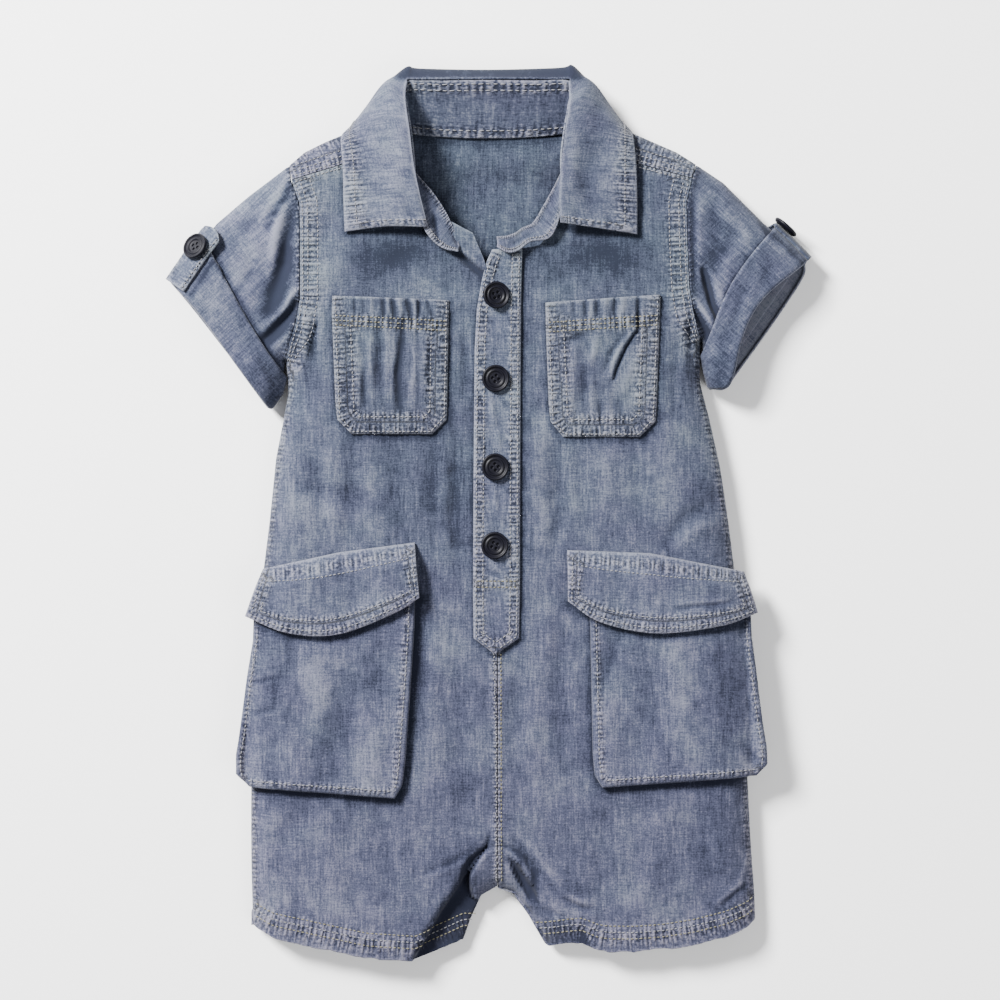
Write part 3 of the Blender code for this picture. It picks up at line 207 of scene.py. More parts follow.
CUFF_CREASES = table("x0 y0 x1 y1 wide high bow", [
    (-151.6, 151.5, -157.6, 141, 1.2, -1.7, 0), (-157.6, 141, -167.1, 131.4, 1.2, -1.7, 0),
    (-167.1, 131.4, -171.6, 125, 1.2, -1.5, 0), (-148, 135.5, -146.6, 131.5, 1.2, -1.4, 0),
    (-150, 120, -140, 104, 5, .6, 1), (-137, 112, -130, 92, 3.5, -.6, 0),
    (-132, 86, -124, 76, 3, .5, 0), (-124, 84, -118, 66, 3, -.7, 0), (-165, 128, -156, 116, 2.6, .5, 0),
    (158, 140, 150, 126, 4, -.7, 1), (146, 126, 138, 110, 3.6, .6, 0), (140, 120, 132, 100, 3, -.7, 0),
    (130, 96, 126, 80, 2.6, -.6, 0), (124, 98, 121, 86, 2, .5, 0), (164, 146, 157, 138, 2.4, .5, 0),
])
POCKET_CREASES = table("x0 y0 x1 y1 wide high bow", [
    (-74, 118.6, -73, 109, 1.2, -.7, 0), (-69, 118.6, -68.4, 110, 1.1, -.6, 0),
    (-64.8, 118.6, -64, 109, 1.0, .7, 0), (-58, 118.6, -57.4, 107, 1.2, -1.2, 0),
    (-55.4, 118.6, -54.8, 108, 1.0, .8, 0), (-52.6, 118.6, -51.6, 106, 1.2, -1.4, 0),
    (-49, 118.6, -48, 107, 1.2, .8, 0), (-44.6, 118.6, -42.6, 105, 1.3, -1.5, 0),
    (-40.6, 118.6, -40, 106, 1.0, .9, 0), (-37, 118.6, -39.4, 106, 1.2, -1.3, 0),
    (-34, 117.6, -31, 107, 1.1, -.9, 0), (-29, 118, -29, 107, 1.2, .5, 0),
    (-60, 102, -59.6, 70, 2.6, -1.3, .6), (-55.6, 102, -56, 64, 2.0, .9, 0),
    (-46.6, 104, -49.4, 56, 2.0, -1.6, 1), (-51.8, 96, -53, 60, 1.6, .7, 0),
    (-42, 98, -42, 60, 2.4, 1.0, -1), (-35.6, 98, -36, 66, 2.0, .6, 0), (-32.4, 95, -32.4, 66, 1.4, -1.0, 0),
    (-68.3, 78, -68.3, 59, 1.3, -1.1, 0), (-71.6, 98, -71.6, 62, 1.6, .6, 0),
    (-65, 98, -64, 62, 1.6, .7, 0), (-76, 100, -77, 56, 1.3, -.5, 0),
    (82.4, 118.6, 81.9, 98.6, 1.05, -1.9, 0), (81.0, 98.5, 69.0, 73.5, .80, -1.8, 1.6),
    (84.6, 110, 84.4, 92, 1.2, .9, 0), (78.2, 98.6, 66.4, 75, 1.5, .9, 1.6),
    (74, 97, 63.5, 78, 1.6, -.7, 1.2), (84, 88, 74, 70, 3, .8, 1),
    (53.4, 118.6, 53, 108, 1.1, -1.2, 0), (60, 118.6, 59.6, 108, 1.1, -1.2, 0),
    (69.8, 118.6, 68.6, 107, 1.1, -1.4, 0), (56.6, 118.6, 56.4, 108, 1.1, .7, 0),
    (64.4, 118.6, 64, 108, 1.3, .7, 0), (74, 118.6, 73, 108, 1.5, .6, 0), (47, 117.6, 47, 108, 1.1, -.7, 0),
    (41, 93, 52, 98, 2.2, -1.1, 0), (54, 92, 50, 98, 2, -.8, 0), (60, 96, 56, 82, 2.4, .8, 0),
    (52, 76, 52, 62, 2.0, -.9, 0), (61.4, 60, 62, 49, 1.3, -1.0, 0), (47, 90, 46, 58, 2.4, .8, 0),
    (57, 74, 57, 56, 2, .7, 0), (72, 60, 74, 48, 1.5, -.7, 0), (66, 66, 66.5, 50, 1.6, .6, 0),
])
CARGO_CREASES = table("x0 y0 x1 y1 wide high bow", [
    (-78, -100, -88, -140, 9, -1.7, 2), (-97, -84, -92, -116, 9, 1.2, 0), (-58, -72, -62, -104, 7, -1.0, 0),
    (-64, -110, -66, -150, 6, .8, 0), (-117, -90, -117, -104, 1.2, -.7, 0),
    (-128, -93, -117, -91, 1.2, -.6, 0), (-129, -110, -118, -108, 1.4, -.5, 0),
    (-108, -70, -110, -88, 5, -.8, 0), (-120, -122, -118, -150, 5, -.8, 1),
    (-106, -126, -100, -152, 6, .7, 0),
    (72, -68, 63, -90, 4.6, -1.2, 1), (66, -104, 68, -146, 5, .8, 0), (104, -76, 112, -140, 11, .9, 2),
    (92, -90, 84, -128, 7, -.8, 1), (128, -80, 134, -124, 8, -.8, 0), (141, -128, 153, -144, 2.2, -.8, 0),
    (138, -134, 148, -150, 2.2, .6, 0), (146, -110, 154, -120, 2, -.6, 0), (146, -92, 152, -98, 2, -.5, 0),
    (-78, -28, -74, -60, 5.5, -.8, 0), (-60, -24, -58, -52, 5, .6, 0), (-96, -30, -98, -60, 6, .6, 0),
    (-44, -26, -45, -44, 3, -.5, 0), (-116, -40, -120, -58, 4, -.6, 0), (104, -52.4, 131, -49.6, 1.1, -.8, 0),
    (104, -50, 131, -47.4, 1.2, .5, 0), (70, -28, 72, -56, 6, -.7, 0), (88, -26, 90, -60, 6, .6, 0),
    (118, -34, 124, -60, 5, -.6, 0),
])
PLACKET_CREASES = table("x0 y0 x1 y1 wide high bow", [
    (-4, 111, 2, 104, 1.3, -.9, 0), (9, 110, 14, 104, 1.2, -.6, 0), (-2, 98, 4, 93, 1.3, .6, 0),
    (-5, 84, 0, 82, 1.2, -.8, 0), (-6, 66, -2, 58, 1.4, -1.0, 1), (1, 62, 3, 50, 1.5, .8, 0),
    (8, 62, 13, 56, 1.3, -.8, 0), (-5, 40, -1, 33, 1.4, -1.1, -1), (5, 43, 6, 34, 1.2, .6, 0),
    (10, 40, 14, 34, 1.2, -.6, 0), (-6, 16, -1, 12, 1.4, -.9, 0), (3, 13, 4, 3, 1.4, .8, 0),
    (8, 14, 14, 9, 1.3, -.8, 0), (-6, 2, -3, -8, 1.5, -.8, 0), (9, -4, 13, -10, 1.3, -.7, 0),
    (-4, -29, 6, -34, 1.2, -1.0, 1), (2, -27, 8, -35, 1.3, .7, 0), (9, -28, 12, -35, 1.2, -.6, 0),
    (4, 131, 7, 139, 1.6, -.8, 0), (12, 134, 14, 142, 1.4, -.6, 0),
])


# ---- small tools -------------------------------------------------------------
def ease(t):
    """Smooth step from 0 to 1: 3 t^2 - 2 t^3, with t held between 0 and 1."""
    t = np.clip(t, 0, 1)
    return t * t * (3 - 2 * t)


def unit(v):
    """Vectors divided by their own length."""
    return v / np.maximum(np.linalg.norm(v, axis=-1, keepdims=True), 1e-9)


def read(rows, y, *names):
    """Columns of a table whose y falls from row to row, read at y."""
    return [np.interp(-np.asarray(y), -rows["y"], rows[name]) for name in names]


def at(line, share):
    """Points at shares of a plan line's length."""
    line = np.array(line, float)
    run = np.concatenate([[0], np.cumsum(np.linalg.norm(np.diff(line, axis=0), axis=1))])
    share = np.asarray(share) * run[-1]
    return np.stack([np.interp(share, run, line[:, k]) for k in range(line.shape[1])], -1)


def curve(rows, share):
    """Catmull-Rom curve through rows of numbers, read at shares of the row count."""
    rows = np.array(rows, float)
    padded = np.concatenate([2 * rows[:1] - rows[1:2], rows, 2 * rows[-1:] - rows[-2:-1]])
    t = np.clip(np.asarray(share, float), 0, 1) * (len(rows) - 1)
    k = np.minimum(t.astype(int), len(rows) - 2)
    t = (t - k).reshape((-1,) + (1,) * (rows.ndim - 1))
    a, b, c, d = (padded[k + n] for n in range(4))
    return b + .5 * t * (c - a + t * (2 * a - 5 * b + 4 * c - d + t * (3 * (b - c) + d - a)))


def noise(x, y, size, seed):
    """Value noise from -1 to 1: hashed numbers on a lattice of that size, blended by ease."""
    u, v = x / size + 17.3 * seed, y / size - 9.1 * seed
    iu, iv = np.floor(u), np.floor(v)
    fu, fv = ease(u - iu), ease(v - iv)
    corner = []
    for a, b in ((0, 0), (1, 0), (0, 1), (1, 1)):
        h = np.sin((iu + a) * 127.1 + (iv + b) * 311.7 + seed * 74.7) * 43758.5453
        corner.append(2 * (h - np.floor(h)) - 1)
    low = corner[0] * (1 - fu) + corner[1] * fu
    high = corner[2] * (1 - fu) + corner[3] * fu
    return low * (1 - fv) + high * fv


def relief(x, y, creases):
    """Each crease is a bell across a bowed line, high * exp(-(off / wide)^2), fading at its ends."""
    total = np.zeros(np.shape(x))
    for x0, y0, x1, y1, wide, high, bow in zip(*creases.values()):
        run = np.array([x1 - x0, y1 - y0])
        length = np.hypot(*run)
        near = np.abs(x - (x0 + x1) / 2) + np.abs(y - (y0 + y1) / 2) < length + 6 * wide + 8
        px, py = x[near] - x0, y[near] - y0
        along = (px * run[0] + py * run[1]) / length
        t = np.clip(along / length, 0, 1)
        wander = .35 * wide * noise(along, np.zeros_like(along) + x0, 7 + wide, 3)
        off = (px * run[1] - py * run[0]) / length - bow * 4 * t * (1 - t) + wander
        past = np.maximum(np.maximum(-along, along - length), 0)
        fade = .55 + .45 * np.sin(math.pi * np.clip(t, .02, .98)) ** .5
        total[near] += high * fade * np.exp(-(off / wide) ** 2 - (past / (1.6 * wide)) ** 2)
    return total


def crease_wear_and_shade(x, y, creases):
    """How worn (above zero) the creases leave the cloth, and how deep the painted shade in their troughs is
    (below zero).
    """
    sharp = dict(creases, high=creases["high"] * (2.2 / creases["wide"]) ** .6)
    return np.clip(relief(x, y, sharp) / 1.6, -1.3, 1)


def painted_shadow(x, y, lines, wide=2.4):
    """Painted shadow: a dark strip beside what is laid on the cloth, wider on its lower right, where the key
    light's shadow falls.
    """
    _, off, _ = seam_map(x - .9, y + 1.1, [(line, 1.0) for line in lines])
    return -np.exp(-(off / wide) ** 2)


def dye_and_painted_shading(x, y):
    """The dye's soft clouds, and the soft patches of dye and of painted light and shade."""
    total = .15 * noise(x, y, 34, 91) + .16 * noise(x, y, 13, 92)
    for x0, y0, wide, tall, tone in zip(*DYE_AND_PAINTED_SHADING.values()):
        total = total + tone * np.exp(-((x - x0) / wide) ** 2 - ((y - y0) / tall) ** 2)
    return total


def seam_map(x, y, lines):
    """Nearest sewn line: the run along it, the distance from it, and a band that fades away."""
    best = np.full(np.shape(x), 1e9)
    run_at, band = np.zeros(np.shape(x)), np.zeros(np.shape(x))
    for number, (line, wide) in enumerate(lines):
        line = np.array(line, float)
        if len(line) > 24:
            line = line[np.linspace(0, len(line) - 1, 24).round().astype(int)]
        start, step = line[:-1], np.diff(line, axis=0)
        length = np.linalg.norm(step, axis=1)
        before = np.concatenate([[0], np.cumsum(length)])[:-1]
        point = np.stack([x, y], -1)[..., None, :] - start
        share = np.clip((point * step).sum(-1) / np.maximum(length ** 2, 1e-9), 0, 1)
        off = np.linalg.norm(point - share[..., None] * step, axis=-1)
        k = off.argmin(-1)[..., None]
        d = np.take_along_axis(off, k, -1)[..., 0]
        s = np.take_along_axis(before + share * length, k, -1)[..., 0] + 61.7 * number
        closer = d / wide < best
        best = np.where(closer, d / wide, best)
        run_at = np.where(closer, s, run_at)
        band = np.maximum(band, np.exp(-(d / wide) ** 2))
    return run_at, best, band


def ripple(run, pitch, seed):
    """Uneven puckers along a seam: a sine whose phase and size wander."""
    phase = 2.2 * noise(run, 0 * run, 2.7 * pitch, seed)
    size = .65 + .35 * noise(run, 0 * run + 5, 2.1 * pitch, seed + 1)
    return size * np.sin(2 * math.pi * run / pitch + phase)


def inset(line, off, step=1.0):
    """A plan line moved to its left by off, at even steps."""
    line = np.array(line, float)
    long = np.linalg.norm(np.diff(line, axis=0), axis=1).sum()
    line = at(line, np.linspace(0, 1, max(3, int(long / step))))
    tangent = unit(np.gradient(line, axis=0))
    return line + off * np.stack([-tangent[:, 1], tangent[:, 0]], -1)


# ---- the height of the cloth -------------------------------------------------
def pairs(panel, end, first):
    """Plan points of one end of a panel's stations."""
    return list(zip(panel[end + "_x"][first:], panel[end + "_y"][first:]))


# Every folded edge as short straight pieces: shoulders and sleeves, underarms, sides and inseams.
FOLDED = np.array([(a, b) for line in (
    RIDGE_LEFT + SLEEVE_TOP_LEFT, RIDGE_RIGHT + SLEEVE_TOP_RIGHT, SLEEVE_UNDER_LEFT,
    SLEEVE_UNDER_RIGHT, pairs(FRONT_LEFT, "outer", UNDERARM) + [(-130.2, -230)],
    pairs(FRONT_RIGHT, "outer", UNDERARM) + [(148.2, -227)],
    pairs(FRONT_LEFT, "inner", INSEAM[-1]), pairs(FRONT_RIGHT, "inner", INSEAM[1]))
    for a, b in zip(line, line[1:])], float)


def from_edge(x, y):
    """Distance from the nearest folded edge."""
    point = np.stack([x, y], -1)[..., None, :] - FOLDED[:, 0]
    step = FOLDED[:, 1] - FOLDED[:, 0]
    share = np.clip((point * step).sum(-1) / (step ** 2).sum(-1), 0, 1)
    return np.linalg.norm(point - share[..., None] * step, axis=-1).min(-1)


def edge_height(y):
    """Height of a folded edge: EDGE and what EDGE_ALONG adds at this y."""
    return EDGE + np.interp(y, EDGE_ALONG["y"], EDGE_ALONG["height"])


def level_height(y):
    """Height of the level cloth without its creases: CROWN and what CROWN_ALONG adds at this y."""
    return CROWN + np.interp(y, CROWN_ALONG["y"], CROWN_ALONG["height"])


def quarter_round(distance):
    """Share of the full height at a distance from a fold: sqrt(1 - (1 - distance / TURN)^2)."""
    return np.sqrt(np.maximum(1 - (1 - np.clip(distance / TURN, 0, 1)) ** 2, 0))


def leg_sink(x, y):
    """How far the inner part of a leg lies below its folded outer part.

    Behind the fold's line the cloth steps down by the fold's depth, until the line where it rises
    again. Before the line it rolls down a little, as the square of the nearness to the line.
    """
    soft, lip_wide, lip_share = 1.8, 4.5, .28
    total = np.zeros(np.shape(x))
    for side, fold in LEG_FOLD.items():
        line, depth, rise = read(fold, y, "x", "depth", "rise")
        behind = -side * (x - line)
        low = ease(behind / soft + .1) * ease(1 - (behind + side * (rise - line)) / soft)
        lip = np.maximum(1 - np.abs(np.minimum(behind, 0)) / lip_wide, 0) ** 2 * (behind < 0)
        nearest = 10 if side > 0 else -5
        total += np.where(side * x > nearest, depth * (low + lip_share * lip), 0)
    return total


def crown(x, y, creases=BODY_CREASES):
    """Height of the level cloth with its creases and three sizes of small unevenness."""
    fine = .30 * noise(x, y, 17, 1) + .16 * noise(x, y, 7.5, 2) + .07 * noise(x, y, 3.6, 4)
    return level_height(y) + relief(x, y, creases) + fine


def front_z(x, y, creases=BODY_CREASES):
    """The front: edge + (crown - sink - edge) * quarter_round(distance from the nearest fold)."""
    low = edge_height(y)
    sink = np.minimum(leg_sink(x, y), 7.5)
    return low + (crown(x, y, creases) - sink - low) * quarter_round(from_edge(x, y))


def smooth_front_z(x, y):
    """The front without its creases, for pieces that are laid on it."""
    low = edge_height(y)
    return low + (level_height(y) - low) * quarter_round(from_edge(x, y))


def back_z(x, y):
    """The back: flat below, raised a little by the collar and the cuffs, and up to every fold."""
    collar = 4 * ease((y - 180) / 18) * ease((84 - np.abs(x)) / 18)
    cuffs = 2.4 * ease((np.abs(x - 2) - 112) / 22)
    base = np.minimum(collar + cuffs, edge_height(y) - 3)
    return base + (edge_height(y) - base) * (1 - quarter_round(from_edge(x, y)))


# ---- meshes ------------------------------------------------------------------
def new_mesh(name, points, quads, uv, seam, wear_and_shade, finish, slot="chambray"):
    """An object from whole arrays: points in mm, quads, uv and the two attributes of shell."""
    mesh = bpy.data.meshes.new(name)
    mesh.vertices.add(len(points))
    mesh.vertices.foreach_set("co", (points * MM).astype(np.float32).ravel())
    mesh.loops.add(4 * len(quads))
    mesh.loops.foreach_set("vertex_index", quads.astype(np.int32).ravel())
    mesh.polygons.add(len(quads))
    mesh.polygons.foreach_set("loop_start", np.arange(0, 4 * len(quads), 4, dtype=np.int32))
    mesh.update(calc_edges=True)
    layer = mesh.uv_layers.new(name="UVMap")
    layer.data.foreach_set("uv", uv[quads.ravel()].astype(np.float32).ravel())
    for key, values in (("seam", seam), ("wear_and_shade", wear_and_shade)):
        layer = mesh.attributes.new(key, "FLOAT_VECTOR", "POINT")
        layer.data.foreach_set("vector", values.astype(np.float32).ravel())
    mesh.validate()
    mesh.shade_smooth()
    mesh.materials.append(finish)
    made = bpy.data.objects.new(name, mesh)
    bpy.context.scene.collection.objects.link(made)
    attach(made, "root")
    return made


def rim_distance(points):
    """Distance of each grid point from the grid's border, along its row or column."""
    along = np.linalg.norm(np.diff(points, axis=1), axis=-1).cumsum(1)
    along = np.concatenate([np.zeros_like(along[:, :1]), along], 1)
    down = np.linalg.norm(np.diff(points, axis=0), axis=-1).cumsum(0)
    down = np.concatenate([np.zeros_like(down[:1]), down], 0)
    return np.minimum(np.minimum(along, along[:, -1:] - along), np.minimum(down, down[-1:] - down))


def soften(values, times):
    """Each grid value averaged with its neighbours, that many times."""
    values = values.copy()
    for _ in range(times):
        values[1:-1] = (values[:-2] + 2 * values[1:-1] + values[2:]) / 4
        values[:, 1:-1] = (values[:, :-2] + 2 * values[:, 1:-1] + values[:, 2:]) / 4
    return values


def shell(points, facing, wall=WALL, uv=None, lines=(), tone=0.0, rim=1.0, shade=0.0, inside=0.0):
    """One grid as a closed thin wall: points, quads, uv, and the seam and wear attributes.

    The inner face is the outer one less wall * softened normal, and a strip closes the border.
    seam holds the run along the nearest sewn line, the distance from it and its band. The other
    attribute holds the tone of worn creases and dye with painted shade and light in it, the worn
    rim, and the painted shade, to which the inner face adds inside; below zero that paints it lighter.
    """
    rows, columns = points.shape[:2]
    normal = unit(np.cross(np.gradient(points, axis=1), np.gradient(points, axis=0)))
    sign = 1.0 if (normal * facing).sum(-1).mean() > 0 else -1.0
    normal = unit(soften(normal, 4))
    outer = points.reshape(-1, 3)
    inner = (points - wall * sign * normal).reshape(-1, 3)
    inner[:, 2] = np.maximum(inner[:, 2], np.minimum(outer[:, 2], .05))
    grid = np.arange(rows * columns).reshape(rows, columns)
    face = np.stack([grid[:-1, :-1], grid[:-1, 1:], grid[1:, 1:], grid[1:, :-1]], -1).reshape(-1, 4)
    starts = [grid[0, :-1], grid[:-1, -1], grid[-1, :0:-1], grid[:0:-1, 0]]
    ends = [grid[0, 1:], grid[1:, -1], grid[-1, -2::-1], grid[-2::-1, 0]]
    a, b = np.concatenate(starts), np.concatenate(ends)
    count = rows * columns
    border = np.stack([b, a, a + count, b + count], -1)
    quads = np.concatenate([face, face[:, ::-1] + count, border])
    if sign < 0:
        quads = quads[:, ::-1]
    uv = points[..., :2] if uv is None else uv
    if len(lines):
        run, off, band = seam_map(uv[..., 0], uv[..., 1], lines)
    else:
        run, off, band = (np.zeros((rows, columns)) for _ in range(3))
    seam = np.stack([run, off, band], -1).reshape(-1, 3)
    edge = rim * np.exp(-(rim_distance(points) / 1.1) ** 2)
    tone, shade = (np.broadcast_to(a, edge.shape) for a in (tone, shade))
    wear_and_shade = np.stack([tone, edge, shade], -1).reshape(-1, 3)
    return (np.concatenate([outer, inner]), quads, np.tile(uv.reshape(-1, 2), (2, 1)),
            np.tile(seam, (2, 1)), np.concatenate([wear_and_shade, wear_and_shade + [0, 0, inside]]))


def cloth(name, shells, finish, nodes):
    """Several shells as one object, which stands for its CAD nodes."""
    start, quads = 0, []
    for each in shells:
        quads.append(each[1] + start)
        start += len(each[0])
    made = new_mesh(name, np.concatenate([s[0] for s in shells]), np.concatenate(quads),
                    *(np.concatenate([s[k] for s in shells]) for k in (2, 3, 4)), finish)
    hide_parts(*nodes)
    return made


STITCHES = {"pale": [], "khaki": [], "blue": []}
STITCH_FROM, STITCH_LONG = .16, .70                      # of one pitch
STITCH_RISE = np.array([-.5, .7, 1, .7, -.5])[:, None]   # of its height, from end to end
STITCH_FAT = np.array([.6, 1, 1.1, 1, .6])[:, None]      # of its half thickness


def sew(place, line, tone="pale", pitch=2.5, thick=.28, high=.26):
    """Stitches along a line of surface parameters; place gives a point for each pair of them.

    A stitch is a bent four-sided tube: its ends dip into the cloth and its middle stands high.
    """
    line = np.array(line, float)
    long = np.linalg.norm(np.diff(line, axis=0), axis=1).sum()
    count = max(1, int(long / pitch))
    along_it = len(STITCH_RISE)
    begin = (np.arange(count) + STITCH_FROM) / count
    share = begin[:, None] + np.linspace(0, STITCH_LONG, along_it) / count
    uv = at(line, share.ravel()).reshape(count, along_it, 2)
    start = float(np.abs(line[0]).sum())
    sway = .10 * np.sin(np.arange(count) * 2.4 + start)[:, None, None]
    uv = uv + sway * np.linspace(-1, 1, along_it)[None, :, None]
    u, v = uv[..., 0], uv[..., 1]
    points = place(u, v)
    near = .35
    normal = unit(np.cross(place(u + near, v) - place(u - near, v), place(u, v + near) - place(u, v - near)))
    normal = normal * np.where(normal[..., 2:] < 0, -1.0, 1.0)
    side = unit(np.cross(unit(np.gradient(points, axis=1)), normal))
    centre = points + high * STITCH_RISE * normal
    ring = [centre + thick * STITCH_FAT * (math.cos(k) * side + math.sin(k) * normal)
            for k in (0, math.pi / 2, math.pi, 3 * math.pi / 2)]
    STITCHES[tone].append((np.stack(ring, 2), uv))


def finish_stitches(tone, finish):
    """All rows of one thread as one mesh: each stitch's rings joined by quads, and its ends closed."""
    rings = np.concatenate([r for r, _ in STITCHES[tone]])
    uv = np.concatenate([u for _, u in STITCHES[tone]])
    grid = np.arange(rings[..., 0].size).reshape(rings.shape[:3])
    turned = np.roll(grid, -1, axis=2)
    quads = np.stack([grid[:, :-1], grid[:, 1:], turned[:, 1:], turned[:, :-1]], -1).reshape(-1, 4)
    ends = np.concatenate([grid[:, 0], grid[:, -1, ::-1]])
    uv = np.repeat(uv[:, :, None], grid.shape[2], axis=2).reshape(-1, 2)
    none = np.zeros((len(uv), 3))
    return new_mesh("stitches_" + tone, rings.reshape(-1, 3), np.concatenate([quads, ends]),
                    uv, none, none, finish)


# ---- finishes ----------------------------------------------------------------
def feed(tree, sockets, values):
    """Links each value that is a socket, and sets each number or colour on the node itself."""
    for socket, value in zip(sockets, values):
        if isinstance(value, bpy.types.NodeSocket):
            tree.links.new(value, socket)
        else:
            socket.default_value = value


def maths(tree, operation, a, b=0.0, c=0.0):
    """One step of arithmetic."""
    made = tree.nodes.new("ShaderNodeMath")
    made.operation = operation
    feed(tree, made.inputs, (a, b, c))
    return made.outputs[0]


def vector(tree, x, y, z):
    """Three values as one vector."""
    made = tree.nodes.new("ShaderNodeCombineXYZ")
    feed(tree, made.inputs, (x, y, z))
    return made.outputs[0]


def grain(tree, u, v, across, along, seed, detail=2.0):
    """Noise stretched over the cloth: across and along are its cells per millimetre."""
    made = tree.nodes.new("ShaderNodeTexNoise")
    made.inputs["Scale"].default_value = 1
    made.inputs["Detail"].default_value = detail
    made.inputs["Roughness"].default_value = .55
    place = vector(tree, maths(tree, "MULTIPLY", u, across), maths(tree, "MULTIPLY", v, along), seed)
    tree.links.new(place, made.inputs["Vector"])
    return made.outputs["Fac"]


def blend(tree, factor, a, b, kind="MIX"):
    """Colour a blended with colour b."""
    made = tree.nodes.new("ShaderNodeMix")
    made.data_type = "RGBA"
    made.blend_type = kind
    feed(tree, (made.inputs[0], made.inputs[6], made.inputs[7]), (factor, a, b))
    return made.outputs[2]


def new_finish(name):
    """A new material, its node tree and its shader."""
    finish = bpy.data.materials.new(name)
    finish.use_nodes = True
    return finish, finish.node_tree, finish.node_tree.nodes["Principled BSDF"]


def own_noise(tree, scale, detail=2.0):
    """Even noise on the piece's own coordinates."""
    place = tree.nodes.new("ShaderNodeTexCoord")
    made = tree.nodes.new("ShaderNodeTexNoise")
    made.inputs["Scale"].default_value = scale
    made.inputs["Detail"].default_value = detail
    tree.links.new(place.outputs["Object"], made.inputs["Vector"])
    return made.outputs["Fac"]


DEEP_INDIGO = (.0082, .0108, .0210)
CLEAR_INDIGO = (.0372, .0442, .0690)
WORN_INDIGO = (.114, .122, .153)


